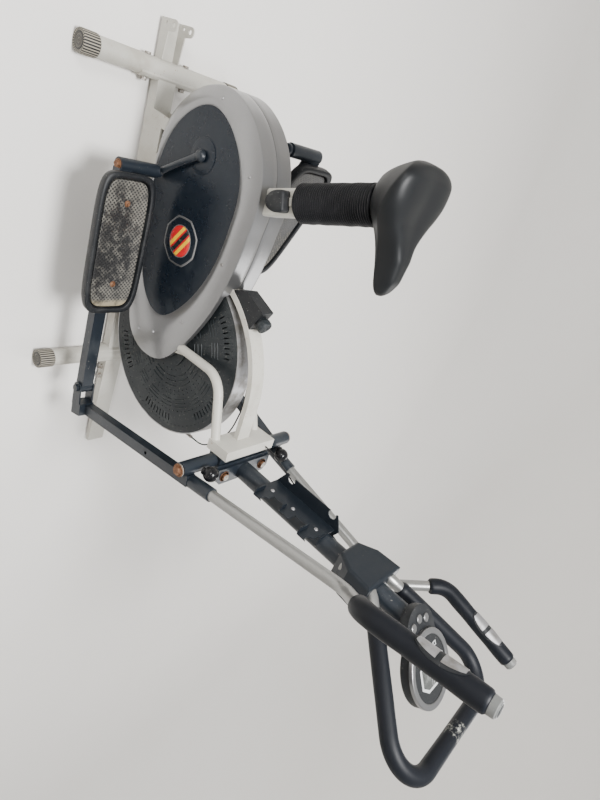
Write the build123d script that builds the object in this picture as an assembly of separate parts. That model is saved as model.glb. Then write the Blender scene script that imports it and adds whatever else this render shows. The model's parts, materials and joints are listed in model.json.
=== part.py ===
from build123d import *

import os
from math import atan2, cos, degrees, hypot, pi, radians, sin, sqrt, tan

# An upright elliptical cross trainer with a saddle. Lengths are in millimetres.
# X runs from the saddle end to the handlebar end, Y is across, Z is up from the floor.
# X is measured from the rear foot's axis here, and save() shifts it to the middle of the length.

# ---- driving dimensions -------------------------------------------------------------
REAR_END = -118.0
FRONT_END = 1164.0
MIDDLE_X = (REAR_END + FRONT_END) / 2

FRONT_FOOT_X = 825.0
FOOT_HALF = 250.0
FOOT_R = 25.0
FOOT_Z = 27.0
CAP_R = 27.4
CAP_LENGTH = 45.0
FOOT_WALL = 2.5

RAIL_HALF = 28.0
RAIL_LOW = 12.0
RAIL_HIGH = 44.0
RAIL_WALL = 3.0
SADDLE_PLATE = 3.0
SADDLE_PLATE_HALF = 85.0
FOOT_BOLT_Y = 62.0
FOOT_BOLT_R = 4.0

CRANK_X, CRANK_Z = 150.0, 309.0
CRANK_R = 156.0
CRANK_ANGLE = -60.3
CRANK_FACE = 79.0
SHELL_R = 24.0
SHELL_HALF = 29.5
AXLE_R = 8.5

WHEEL_X, WHEEL_Z = 654.0, 318.0
WHEEL_R = 258.0
WHEEL_HALF = 26.0
PULLEY_R = 100.0
SMALL_PULLEY_R = 20.0
ARCH_WIDTH = 44.0
ARCH_THICK = 15.0
BELT_Y = 36.0
BELT_THICK = 3.0

PIVOT_X, PIVOT_Z = 828.0, 631.0
PIVOT_AXLE_R = 8.0
BARREL_IN, BARREL_OUT = 91.0, 200.0
BARREL_R = 19.0
ARM_LENGTH = 461.5
BAR_LENGTH = 622.7
RIGHT_ARM_ANGLE = 2.73
LEFT_ARM_ANGLE = -22.96
RIGHT_BAR_TILT = -0.32
LEFT_BAR_TILT = -22.5
BAR_Y = 180.0
BAR_WIDTH = 34.0
BAR_HEIGHT = 30.0
ARM_Y = 172.0
HANDLE_R = 14.0
GRIP_R = 21.0

POST_X, POST_Z = 863.0, 668.0
POST_LEAN = 3.4
POST_R = 25.0
POST_LENGTH = 566.0
POST_BOLT_X, POST_BOLT_Y = 862.0, 72.0

SEAT_LEAN = 17.0
SEAT_FOOT_X, SEAT_FOOT_Z = 336.0, 40.0
SEAT_TUBE = 62.0
SEAT_TUBE_WALL = 2.5
SEAT_TUBE_TOP = 582.0
SEAT_POST = 56.0
SEAT_KNOB_T = 535.0
BELLOWS_TOP = 786.0

CONSOLE_X, CONSOLE_Z = 963.0, 1324.0
CONSOLE_TILT = 37.0
CONSOLE_R = 86.0

HOUSING_HALF = 66.0
HOUSING_WALL = 3.0
HOUSING_FLANK = 50.0


# ---- helpers --------------------------------------------------------------------------
def save(name, *solids):
    """Write one node, shifted so that the machine's middle is at X = 0."""
    moved = [Pos(-MIDDLE_X, 0, 0) * solid for solid in solids]
    shape = moved[0] if len(moved) == 1 else Compound(children=moved)
    export_step(shape, f"parts/{name}.step")


def left(shape):
    """The mirror image of a right-hand shape, on the left side."""
    return mirror(shape, about=Plane.XZ)


def side_face(*edges):
    """A face in the side plane from edges drawn with (x, z) as their two coordinates."""
    return Plane.XZ * make_face(edges)


def polygon(*points):
    """A closed straight-sided face with (x, z) corners, in the side plane."""
    return Plane.XZ * make_face(Polyline(*points, close=True))


def across(face, y_low, y_high):
    """Extrude a side-plane face from y_low to y_high."""
    return Pos(0, y_high, 0) * extrude(face, amount=y_high - y_low)


def disc(x, z, radius, y_low, y_high, bore=0.0):
    """A cylinder whose axis runs across the machine."""
    ring = Circle(radius) - Circle(bore) if bore else Circle(radius)
    return across(Pos(x, 0, z) * (Plane.XZ * ring), y_low, y_high)


def rod(start, end, radius, bore=0.0):
    """A round bar or tube between two points."""
    line = Vector(*end) - Vector(*start)
    section = Circle(radius) - Circle(bore) if bore else Circle(radius)
    return extrude(Plane(origin=start, z_dir=line) * section, amount=line.length)


def ease_radii(points):
    """The largest tangent arc for each corner of a route."""
    radii = []
    for before, corner, after in zip(points, points[1:], points[2:]):
        run_in = Vector(*corner) - Vector(*before)
        run_out = Vector(*after) - Vector(*corner)
        turn = radians(run_in.get_angle(run_out))
        radii.append(0.45 * min(run_in.length, run_out.length) / tan(turn / 2))
    return radii


def along(path, section_at_start):
    """Sweep a section along a path, starting square to it."""
    return sweep(Plane(origin=path @ 0, z_dir=path % 0) * section_at_start, path=path)


def tube_along(points, radii, radius, bore=0.0):
    """A tube along straight runs joined by tangent arcs."""
    path = FilletPolyline(*points, radius=radii)
    outer = along(path, Circle(radius))
    return outer - along(path, Circle(bore)) if bore else outer


def box(x0, x1, y0, y1, z0, z1):
    """A box from its low and high limits."""
    return Pos((x0 + x1) / 2, (y0 + y1) / 2, (z0 + z1) / 2) * Box(x1 - x0, y1 - y0, z1 - z0)


def hex_nut(radius, height):
    """A plain hexagon of a nut or bolt head, standing on its base at the origin."""
    return extrude(RegularPolygon(radius, 6), amount=height)


# ---- base ---------------------------------------------------------------------------------
def foot_tube(x):
    """A floor tube with two cross holes for its bolts."""
    tube = disc(x, FOOT_Z, FOOT_R, -FOOT_HALF + 4, FOOT_HALF - 4, FOOT_R - FOOT_WALL)
    for y in (-FOOT_BOLT_Y, FOOT_BOLT_Y):
        tube -= rod((x - 40, y, FOOT_Z), (x + 40, y, FOOT_Z), FOOT_BOLT_R + 0.2)
    return tube


def end_cap(x, side):
    """A plug cap over one end of a floor tube."""
    inner = FOOT_HALF - CAP_LENGTH
    cup = disc(x, FOOT_Z, CAP_R, inner, FOOT_HALF)
    cup -= disc(x, FOOT_Z, FOOT_R + 0.05, inner - 1, FOOT_HALF - 4)
    cup = fillet(cup.edges().group_by(Axis.Y)[-1], 2)
    cup -= box(x - 40, x + 40, 0, 300, -5, 0)
    return cup if side > 0 else left(cup)


def saddle_plate(x, facing):
    """A curved plate that cups a floor tube, with two bolt holes."""
    ring = disc(x, FOOT_Z, FOOT_R + 0.2 + SADDLE_PLATE, -SADDLE_PLATE_HALF, SADDLE_PLATE_HALF, FOOT_R + 0.2)
    keep = box(8, 40, -100, 100, 5, 49) if facing > 0 else box(-40, -8, -100, 100, 5, 49)
    plate = ring & (Pos(x, 0, 0) * keep)
    for y in (-FOOT_BOLT_Y, FOOT_BOLT_Y):
        plate -= rod((x - 40, y, FOOT_Z), (x + 40, y, FOOT_Z), FOOT_BOLT_R + 0.2)
    return plate


def crank_support():
    """Two plates that rise from the rail to the crank shell, and the shell."""
    plate_face = polygon((92, RAIL_HIGH - 3), (246, RAIL_HIGH - 3), (170, CRANK_Z), (132, CRANK_Z - 8))
    window = polygon((132, 90), (196, 90), (160, 232), (146, 228))
    support = disc(CRANK_X, CRANK_Z, SHELL_R, -SHELL_HALF, SHELL_HALF)
    for y in (-RAIL_HALF, RAIL_HALF - 5):
        support += across(plate_face, y, y + 5) - across(window, y, y + 5)
    brace = polygon((165, RAIL_HIGH - 3), (226, RAIL_HIGH - 3), (196, 118), (190, 118))
    support += across(brace, -RAIL_HALF + 5, RAIL_HALF - 5)
    support -= disc(CRANK_X, CRANK_Z, SHELL_R - 4, -40, 40)
    return support


def main_rail():
    """The floor rail between the feet, with its end plates and the crank support."""
    rail = box(18, FRONT_FOOT_X - 18, -RAIL_HALF, RAIL_HALF, RAIL_LOW, RAIL_HIGH)
    rail -= box(32, FRONT_FOOT_X - 32, -RAIL_HALF + RAIL_WALL, RAIL_HALF - RAIL_WALL,
                RAIL_LOW + RAIL_WALL, RAIL_HIGH - RAIL_WALL)
    for x in (0, FRONT_FOOT_X):
        rail -= disc(x, FOOT_Z, FOOT_R + 1.7, -100, 100)
    rail += saddle_plate(0, 1)
    rail += saddle_plate(FRONT_FOOT_X, -1)
    return rail + crank_support()


def rear_bracket():
    """The open channel behind the rear foot, with two drilled ears."""
    wall_face = side_face(
        Polyline((-24, 12), (REAR_END, 12), (REAR_END, 64)),
        ThreePointArc((REAR_END, 64), (-114.4, 73.4), (-105, 77)),
        ThreePointArc((-105, 77), (-96, 73), (-92, 64)),
        Polyline((-92, 64), (-90, 46), (-24, 40), (-24, 12)),
    )
    channel = box(REAR_END, -24, -RAIL_HALF, RAIL_HALF, 12, 15)
    for y in (-RAIL_HALF, RAIL_HALF - RAIL_WALL):
        channel += across(wall_face, y, y + RAIL_WALL)
    channel -= disc(0, FOOT_Z, FOOT_R + 0.2, -60, 60)
    channel -= disc(-105, 62, 6, -60, 60)
    channel -= disc(-108, 36, 4, -60, 60)
    return channel


def front_extension():
    """The open-bottomed channel ahead of the front foot, lower towards its end."""
    start = FRONT_FOOT_X + 18
    outer = polygon((start, 12), (FRONT_END, 12), (FRONT_END, 26), (start, RAIL_HIGH))
    inner = polygon((start - 1, 11), (FRONT_END + 1, 11), (FRONT_END + 1, 23), (start - 1, RAIL_HIGH - 3))
    channel = across(outer, -RAIL_HALF, RAIL_HALF) - across(inner, -RAIL_HALF + 3, RAIL_HALF - 3)
    channel -= disc(FRONT_FOOT_X, FOOT_Z, FOOT_R + 1.7, -100, 100)
    channel += saddle_plate(FRONT_FOOT_X, 1)
    for x in (876, 908):
        channel -= disc(x, 26, 4.2, -60, 60)
    return channel


def foot_bolt(x, y):
    """A domed bolt through a floor tube, with its washer and nut on the rail side."""
    facing = 1 if x == 0 else -1
    shank = rod((-facing * 29, y, FOOT_Z), (facing * 37, y, FOOT_Z), FOOT_BOLT_R)
    far_seat = FOOT_R + 0.3 if x == 0 else FOOT_R + SADDLE_PLATE + 0.4
    head = rod((-facing * far_seat, y, FOOT_Z), (-facing * (far_seat + 5), y, FOOT_Z), 8)
    near_seat = FOOT_R + SADDLE_PLATE + 0.4
    turn = Rot(0, 90 * facing, 0)
    washer = Pos(facing * near_seat, y, FOOT_Z) * turn * Cylinder(10, 1.6, align=(Align.CENTER, Align.CENTER, Align.MIN))
    nut = Pos(facing * (near_seat + 1.6), y, FOOT_Z) * turn * hex_nut(8, 6.5)
    return Pos(x, 0, 0) * (shank + head + washer + nut)


def frame_bolts():
    """The rusty bolts of the feet, the front extension and the handlebar post."""
    bolts = [foot_bolt(x, y) for x in (0, FRONT_FOOT_X) for y in (-FOOT_BOLT_Y, FOOT_BOLT_Y)]
    for x in (876, 908):
        shank = disc(x, 26, 4, -RAIL_HALF - 1, RAIL_HALF + 1)
        head = disc(x, 26, 8, -RAIL_HALF - 6, -RAIL_HALF)
        bolts.append(shank + head + disc(x, 26, 8, RAIL_HALF, RAIL_HALF + 6))
    for y in (-POST_BOLT_Y, POST_BOLT_Y):
        shank = rod((POST_BOLT_X, y, 646), (POST_BOLT_X, y, 676), 5)
        washer = rod((POST_BOLT_X, y, POST_Z), (POST_BOLT_X, y, POST_Z + 2), 14)
        head = Pos(POST_BOLT_X, y, POST_Z + 2) * hex_nut(9.5, 7)
        nut = Pos(POST_BOLT_X, y, 647) * hex_nut(9.5, 7)
        bolts.append(shank + washer + head + nut)
    for side in (-1, 1):
        y0 = side * (BARREL_OUT + 1)
        washer = rod((PIVOT_X, y0, PIVOT_Z), (PIVOT_X, y0 + side * 3, PIVOT_Z), 17)
        head = rod((PIVOT_X, y0 + side * 3, PIVOT_Z), (PIVOT_X, y0 + side * 11, PIVOT_Z), 10)
        bolts.append(washer + head)
    return bolts


# ---- seat ---------------------------------------------------------------------------------------
def on_seat_axis(shape):
    """Place a shape drawn along +Z on the leaning seat axis."""
    return Pos(SEAT_FOOT_X, 0, SEAT_FOOT_Z) * Rot(0, -SEAT_LEAN, 0) * shape


def square_tube(width, corner, wall, low, high):
    """A square tube with round corners, along +Z."""
    outer = extrude(RectangleRounded(width, width, corner), amount=high - low)
    inner = extrude(RectangleRounded(width - 2 * wall, width - 2 * wall, corner - wall / 2), amount=high - low)
    return Pos(0, 0, low) * (outer - inner)


def seat_tube():
    """The square tube that leans back from the rail and takes the seat post."""
    tube = on_seat_axis(square_tube(SEAT_TUBE, 8, SEAT_TUBE_WALL, -30, SEAT_TUBE_TOP))
    tube -= box(200, 460, -60, 60, -80, RAIL_HIGH + 0.05)
    tube -= on_seat_axis(rod((0, -40, SEAT_KNOB_T), (0, -20, SEAT_KNOB_T), 5.6))
    return tube


def seat_post():
    """The inner post, with its row of height holes."""
    post = square_tube(SEAT_POST, 8, SEAT_TUBE_WALL, 400, 790)
    for step in range(9):
        t = SEAT_KNOB_T - 110 + 22 * step
        post -= rod((0, -40, t), (0, -20, t), 5.6)
    return on_seat_axis(post)


def bellows():
    """The soft ribbed boot around the seat post, as a plain sleeve."""
    return on_seat_axis(rod((0, 0, SEAT_TUBE_TOP + 1), (0, 0, BELLOWS_TOP - 1), 45, 39))


def saddle_base():
    """The plate and socket under the saddle."""
    socket = on_seat_axis(Pos(0, 0, BELLOWS_TOP) * Cylinder(41, 22, align=(Align.CENTER, Align.CENTER, Align.MIN)))
    socket -= on_seat_axis(Pos(0, 0, BELLOWS_TOP - 5) * Box(SEAT_POST + 0.4, SEAT_POST + 0.4, 60))
    plate = box(30, 215, -60, 60, 812, 822)
    plate = fillet(plate.edges().filter_by(Axis.Z), 25)
    return (socket - box(0, 300, -100, 100, 815, 900)) + plate


def saddle():
    """The saddle as a plain pad: wide at the back, narrow at the nose."""
    outline = [
        ThreePointArc((20, -84), (3, 0), (20, 84)),
        ThreePointArc((20, 84), (58, 106), (104, 88)),
        ThreePointArc((104, 88), (158, 44), (216, 27)),
        Line((216, 27), (256, 24)),
        ThreePointArc((256, 24), (277, 0), (256, -24)),
        Line((256, -24), (216, -27)),
        ThreePointArc((216, -27), (158, -44), (104, -88)),
        ThreePointArc((104, -88), (58, -106), (20, -84)),
    ]
    pad = Pos(0, 0, 822.5) * extrude(make_face(outline), amount=68)
    return fillet(pad.edges().group_by(Axis.Z)[-1], 14)


def seat_knob():
    """The half-round pull knob of the seat pin."""
    half = Pos(0, -60, SEAT_KNOB_T) * Rot(-90, 0, 0) * extrude(Circle(28) & Pos(0, 14) * Rectangle(60, 28), amount=26)
    half = fillet(half.edges().group_by(Axis.Y)[0], 5)
    stem = rod((0, -36, SEAT_KNOB_T), (0, -28.8, SEAT_KNOB_T), 5)
    return on_seat_axis(half + stem)


# ---- upper frame -------------------------------------------------------------------------------------
def arch_beam(grow=0.0):
    """The flat tube from the seat tube up over the wheel to the head box, or its clearance when grown."""
    path = FilletPolyline((275, 0, 300), (327.4, 0, 300), (516.8, 0, 628), (783, 0, 628), radius=[40, 300])
    section = Rectangle(ARCH_WIDTH + 2 * grow, ARCH_THICK + 2 * grow)
    beam = sweep(Plane(origin=path @ 0, x_dir=(0, 1, 0), z_dir=path % 0) * section, path=path)
    return beam - on_seat_axis(Pos(0, 0, 300) * Box(SEAT_TUBE + 0.1, SEAT_TUBE + 0.1, 700))


def fork_tube():
    """One round tube from the wheel's axle plate up, forward and out to the head box."""
    tube = tube_along([FORK_LOW, FORK_CORNER, (786, -72, 605)], [70], 12.5)
    dropout = polygon((625, 398), (649, 398), (669, 318), (654, 301), (639, 314))
    plate = across(dropout, -46, -41.5) - disc(WHEEL_X, WHEEL_Z, 6.05, -60, -30)
    return tube + plate


FORK_LOW = (637.3, -44.0, 374.0)
FORK_CORNER = (632.0, -60.0, 550.0)


def upper_frame():
    """The welded head box, arch beam and fork."""
    head = box(782, 810, -89.5, 89.5, 598, 672)
    fork = fork_tube()
    return head + arch_beam() + fork + left(fork)


def pivot_beam():
    """The dark cross beam that holds the arm axle and the post's shelf."""
    beam = box(810.1, 846, -88, 88, 612, 655)
    shelf = box(830, 886, -97, 97, 655, 661)
    shelf = chamfer(shelf.edges().filter_by(Axis.Z).group_by(Axis.X)[-1], 14)
    beam += shelf
    beam -= disc(PIVOT_X, PIVOT_Z, PIVOT_AXLE_R + 0.05, -120, 120)
    for y in (-POST_BOLT_Y, POST_BOLT_Y):
        beam -= rod((POST_BOLT_X, y, 600), (POST_BOLT_X, y, 700), 5.2)
    return beam


# ---- post --------------------------------------------------------------------------------------------
def on_post(shape):
    """Place a shape drawn along +Z on the post's leaning axis."""
    return Pos(POST_X, 0, POST_Z) * Rot(0, POST_LEAN, 0) * shape


def post():
    """The round post and its base plate."""
    plate = box(838, 886, -97, 97, 661.1, POST_Z)
    plate = chamfer(plate.edges().filter_by(Axis.Z).group_by(Axis.X)[-1], 14)
    for y in (-POST_BOLT_Y, POST_BOLT_Y):
        plate -= rod((POST_BOLT_X, y, 600), (POST_BOLT_X, y, 700), 5.2)
    tube = on_post(rod((0, 0, -10), (0, 0, POST_LENGTH), POST_R, POST_R - 2.5))
    return plate + (tube - box(700, 1000, -100, 100, 500, POST_Z - 1))


def holder_channel():
    """The channel behind the post, with the notched hook plate on its left side."""
    base = box(-POST_R - 3.2, -POST_R - 0.2, -31, 31, 92, 300)
    lip = box(-POST_R - 3.2, -4, -34, -31, 92, 300)
    hook_face = polygon((-4, 92), (-POST_R - 3, 92), (-66, 112), (-66, 292), (-POST_R - 3, 312), (-4, 300))
    hook = across(hook_face, 31, 34)
    for w in (132, 276):
        hook -= disc(-58, w, 12, 20, 50)
        hook -= across(polygon((-90, w - 3), (-58, w - 9), (-58, w + 9), (-90, w + 15)), 20, 50)
    return on_post(base + lip + hook)


def holder_bracket():
    """The stamped bracket with three fingers, screwed on the channel's right half."""
    plate = box(-POST_R - 6, -POST_R - 3.4, -34, -4, 100, 296)
    for low, reach in ((104, 78), (180, 60), (258, 78)):
        finger = box(-POST_R - 6, -POST_R - 3.4, -reach, -30, low, low + 36)
        finger = fillet(finger.edges().filter_by(Axis.X).group_by(Axis.Y)[0], 6)
        plate += finger
        plate += box(-POST_R - 18, -POST_R - 3.4, -reach + 8, -34, low, low + 2.6)
    for w in (122, 276):
        plate -= rod((-60, -66, w + 18), (0, -66, w + 18), 13)
        plate -= rod((-60, -18, w), (0, -18, w), 3)
    return on_post(plate)


def post_cover(front):
    """One half of the shield-shaped cover around the post's clamp."""
    shield = make_face(Polyline((-36, 0), (-66, 46), (-72, 112), (72, 112), (66, 46), (36, 0), close=True))
    upright = Plane(origin=(0, 0, 364), x_dir=(0, 1, 0), z_dir=(1, 0, 0)) * shield
    depth = 36 if front else -46
    block = extrude(upright, amount=depth)
    block = fillet(block.edges().group_by(Axis.X)[-1 if front else 0], 8)
    hollow = extrude(Plane(origin=(0, 0, 367), x_dir=(0, 1, 0), z_dir=(1, 0, 0))
                     * make_face(Polyline((-34, 0), (-62, 45), (-68, 106), (68, 106), (62, 45), (34, 0), close=True)),
                     amount=depth - (3 if front else -3))
    shell = block - hollow
    shell -= rod((0, 0, 300), (0, 0, 520), POST_R + 0.3)
    shell -= rod((2, 29, 340), (2, 29, 380), 4)
    shell = on_post(shell - box(-0.15, 0.15, -100, 100, 350, 500))
    shell -= along(loop_path(), Circle(LOOP_R + 0.5))
    return shell.solids().sort_by(SortBy.VOLUME)[-1]


# ---- fixed loop handlebar ------------------------------------------------------------------------------
LOOP_ROUTE = [(866, -38, 1050), (868, -38, 1138), (1069, -245, 1430), (1069, 245, 1430), (868, 38, 1138), (866, 38, 1050)]
LOOP_RADII = [60, 72, 72, 60]
LOOP_R = 14.0
LOOP_FOAM_R = 19.5


def loop_path():
    """The loop's centre line."""
    return FilletPolyline(*LOOP_ROUTE, radius=LOOP_RADII)


def loop_tube():
    """The bent steel tube of the fixed handlebar."""
    path = loop_path()
    return along(path, Circle(LOOP_R)) - along(path, Circle(LOOP_R - 2))


def loop_foam():
    """The foam sleeve over the loop, open at both legs."""
    start = Vector(*LOOP_ROUTE[1]) + (Vector(*LOOP_ROUTE[2]) - Vector(*LOOP_ROUTE[1])) * 0.16
    route = [tuple(start), LOOP_ROUTE[2], LOOP_ROUTE[3], (start.X, -start.Y, start.Z)]
    return tube_along(route, LOOP_RADII[1:3], LOOP_FOAM_R, LOOP_R + 0.1)


# ---- console --------------------------------------------------------------------------------------------
def on_console(shape):
    """Place a shape drawn flat, with +X uphill, on the tilted console plane."""
    return Pos(CONSOLE_X, 0, CONSOLE_Z) * Rot(0, -CONSOLE_TILT, 0) * shape


CONSOLE_BUTTONS = {"left_button": (-103, 29), "middle_button": (-112, 0), "right_button": (-103, -29)}


def console_body():
    """The dark case: a round dish with a lobe towards the rider."""
    dish = Circle(CONSOLE_R - 2)
    lobe = make_face([
        Line((-40, -66), (-104, -58)),
        ThreePointArc((-104, -58), (-142, 0), (-104, 58)),
        Line((-104, 58), (-40, 66)),
        Line((-40, 66), (-40, -66)),
    ])
    case = Pos(0, 0, -32) * extrude(dish + lobe, amount=26)
    case = fillet(case.edges().group_by(Axis.Z)[0], 8)
    for x, y in CONSOLE_BUTTONS.values():
        case -= Pos(x, y, -12) * Cylinder(10.4, 20)
    clamp = Pos(-78, 0, -46) * Box(50, 46, 30)
    socket = Pos(-CONSOLE_X, 0, -CONSOLE_Z) * on_post(rod((0, 0, 400), (0, 0, POST_LENGTH + 0.3), POST_R + 0.2))
    case = on_console(case + clamp)
    return case - Pos(CONSOLE_X, 0, CONSOLE_Z) * socket


def console_bezel():
    """The silver ring around the display."""
    ring = Pos(0, 0, -5.8) * extrude(Circle(CONSOLE_R) - Circle(72), amount=9)
    ring = fillet(ring.edges().group_by(Axis.Z)[-1], 2.5)
    return on_console(ring)


def console_face():
    """The dark display window."""
    return on_console(Pos(0, 0, -5.8) * extrude(Circle(71.8), amount=6))


def button(x, y):
    """One oval key, standing proud of the lobe."""
    cap = Pos(x, y, -15) * extrude(Circle(10), amount=12)
    return on_console(fillet(cap.edges().group_by(Axis.Z)[-1], 2))


# ---- drive ------------------------------------------------------------------------------------------------
def crank_arm(angle):
    """A right-hand crank arm with a hub boss and an end boss."""
    pin_x = CRANK_R * cos(radians(angle))
    pin_z = CRANK_R * sin(radians(angle))
    hub = disc(0, 0, 20, -CRANK_FACE, -68)
    end = disc(pin_x, pin_z, 15, -CRANK_FACE, -68)
    blade = Rot(0, -angle, 0) * box(0, CRANK_R, -77, -70, -11, 11)
    arm = hub + end + blade
    arm -= disc(0, 0, AXLE_R, -75, -60)
    return Pos(CRANK_X, 0, CRANK_Z) * arm


def drive_pulley():
    """The large belt wheel on the left side of the crank axle."""
    low, high = BELT_Y - 5, BELT_Y + 5
    wheel = disc(CRANK_X, CRANK_Z, PULLEY_R + 2, low, high) - disc(CRANK_X, CRANK_Z, 200, low + 1.5, high - 1.5, PULLEY_R)
    for spoke in range(6):
        angle = radians(60 * spoke)
        wheel -= disc(CRANK_X + 60 * cos(angle), CRANK_Z + 60 * sin(angle), 20, low, high)
    return wheel - disc(CRANK_X, CRANK_Z, AXLE_R, low, high)


def crank_bearings():
    """The two bearings in the crank shell."""
    ring = disc(CRANK_X, CRANK_Z, SHELL_R - 4.05, -SHELL_HALF, -SHELL_HALF + 12, AXLE_R + 0.05)
    return [ring, left(ring)]


def wheel_hub():
    """The flywheel's hub with the small belt pulley on its left."""
    low, high = BELT_Y - 5, BELT_Y + 5
    hub = disc(WHEEL_X, WHEEL_Z, 18, -30, high)
    hub += disc(WHEEL_X, WHEEL_Z, SMALL_PULLEY_R + 2, low, low + 1.5)
    hub += disc(WHEEL_X, WHEEL_Z, SMALL_PULLEY_R + 2, high - 1.5, high)
    hub += disc(WHEEL_X, WHEEL_Z, SMALL_PULLEY_R, low, high)
    return hub - disc(WHEEL_X, WHEEL_Z, 6.05, -60, 60)


def flywheel_rim():
    """The heavy rim, its spokes and the inner ring on the hub."""
    rim = disc(WHEEL_X, WHEEL_Z, WHEEL_R, -WHEEL_HALF, WHEEL_HALF, WHEEL_R - 3)
    rim += disc(WHEEL_X, WHEEL_Z, WHEEL_R - 2, -8, 8, WHEEL_R - 14)
    rim += disc(WHEEL_X, WHEEL_Z, 40, -8, 8, 18)
    for spoke in range(6):
        blade = Rot(0, 60 * spoke, 0) * box(30, WHEEL_R - 10, -3, 3, -12, 12)
        rim += Pos(WHEEL_X, 0, WHEEL_Z) * blade
    return rim


def wheel_cover():
    """The right-hand plastic wheel cover, slotted near its edge."""
    cover = disc(WHEEL_X, WHEEL_Z, WHEEL_R - 3.3, -25.5, -22.5, 20)
    cover += disc(WHEEL_X, WHEEL_Z, 60, -30, -24, 20)
    for group in range(6):
        for slot in range(-4, 5):
            blade = Rot(0, 60 * group + 3.6 * slot, 0) * box(206, 226, -40, -10, -1.8, 1.8)
            cover -= Pos(WHEEL_X, 0, WHEEL_Z) * blade
    return cover


def drive_belt():
    """The flat belt around both pulleys."""
    span = hypot(WHEEL_X - CRANK_X, WHEEL_Z - CRANK_Z)
    slope = atan2(WHEEL_Z - CRANK_Z, WHEEL_X - CRANK_X)

    def loop(grow):
        big, small = PULLEY_R + grow, SMALL_PULLEY_R + grow
        lean = atan2(sqrt(span ** 2 - (big - small) ** 2), big - small)
        a0, a1 = slope + lean, slope - lean
        big_top = (CRANK_X + big * cos(a0), CRANK_Z + big * sin(a0))
        big_low = (CRANK_X + big * cos(a1), CRANK_Z + big * sin(a1))
        big_back = (CRANK_X - big * cos(slope), CRANK_Z - big * sin(slope))
        small_top = (WHEEL_X + small * cos(a0), WHEEL_Z + small * sin(a0))
        small_low = (WHEEL_X + small * cos(a1), WHEEL_Z + small * sin(a1))
        small_tip = (WHEEL_X + small * cos(slope), WHEEL_Z + small * sin(slope))
        return side_face(
            ThreePointArc(big_low, big_back, big_top),
            Line(big_top, small_top),
            ThreePointArc(small_top, small_tip, small_low),
            Line(small_low, big_low),
        )

    return across(loop(0.3 + BELT_THICK), BELT_Y - 3, BELT_Y + 3) - across(loop(0.3), BELT_Y - 3, BELT_Y + 3)


# ---- brake ---------------------------------------------------------------------------------------------------
def brake_strap():
    """The friction strap over the front of the rim."""
    band = disc(WHEEL_X, WHEEL_Z, WHEEL_R + 2.0, -11, 11, WHEEL_R + 0.5)
    wedge = polygon((0, 0), (400, 130), (450, 0), (400, -300), (110, -420))
    return band & (Pos(WHEEL_X, 0, WHEEL_Z) * across(wedge, -20, 20))


def tension_block():
    """The wedge-shaped case of the resistance knob, astride the arch beam."""
    case = across(polygon((420, 486), (408, 523), (437, 594), (495, 564), (499, 560), (466, 526), (430, 478)), -20, 20)
    case = fillet(case.edges().filter_by(Axis.Y).group_by(Axis.Z)[-1], 3)
    return case - arch_beam(0.15)


def tension_knob():
    """The round resistance knob on the case's sloping top."""
    turn = Pos(466, 0, 579) * Rot(0, 27.3, 0)
    knob = Pos(0, 0, 0.4) * Cylinder(19.5, 24, align=(Align.CENTER, Align.CENTER, Align.MIN))
    knob = fillet(knob.edges().group_by(Axis.Z)[-1], 3)
    return turn * knob


CABLE_ROUTE = [(490, 0, 531), (520, 0, 554), (560, 0, 576), (620, 0, 597), (700, 0, 605),
               (790, 0, 588), (856, 0, 545), (889, 0, 500), (889, 0, 455)]
WIRE_ROUTE = [(799, 60, 672.5), (803, 59, 709), (820, 53, 766), (840, 43, 835),
              (862, 39.5, 900), (877, 38, 970), (884, 29.5, 1005), (887, 28.5, 1045)]


# ---- housing --------------------------------------------------------------------------------------------------
def housing_outline():
    """The egg-shaped outline of the drive housing, as edges in (x, z)."""
    return [
        Line((140, 131), (596, 130)),
        ThreePointArc((596, 130), (690, 166), (720, 232)),
        Line((720, 232), (712, 308)),
        ThreePointArc((712, 308), (508, 447), (262, 508)),
        ThreePointArc((262, 508), (52, 452), (-14, 335)),
        ThreePointArc((-14, 335), (32, 198), (140, 131)),
    ]


def panel_outline():
    """The smooth oval of the side panel, as edges that match the outline's."""
    return [
        ThreePointArc((175, 156), (350, 141), (500, 172)),
        ThreePointArc((500, 172), (566, 212), (592, 268)),
        Line((592, 268), (588, 288)),
        ThreePointArc((588, 288), (455, 402), (270, 452)),
        ThreePointArc((270, 452), (95, 410), (28, 306)),
        ThreePointArc((28, 306), (80, 208), (175, 156)),
    ]


def dome(outline, crown, y_edge, y_crown):
    """A right-hand solid from the middle out: straight flank, then narrowing to the crown."""
    body = across(outline, -y_edge, 0)
    edge = Pos(0, -y_edge, 0) * outline
    top = Pos(0, -y_crown, 0) * crown
    return body + loft([edge, top])


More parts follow.
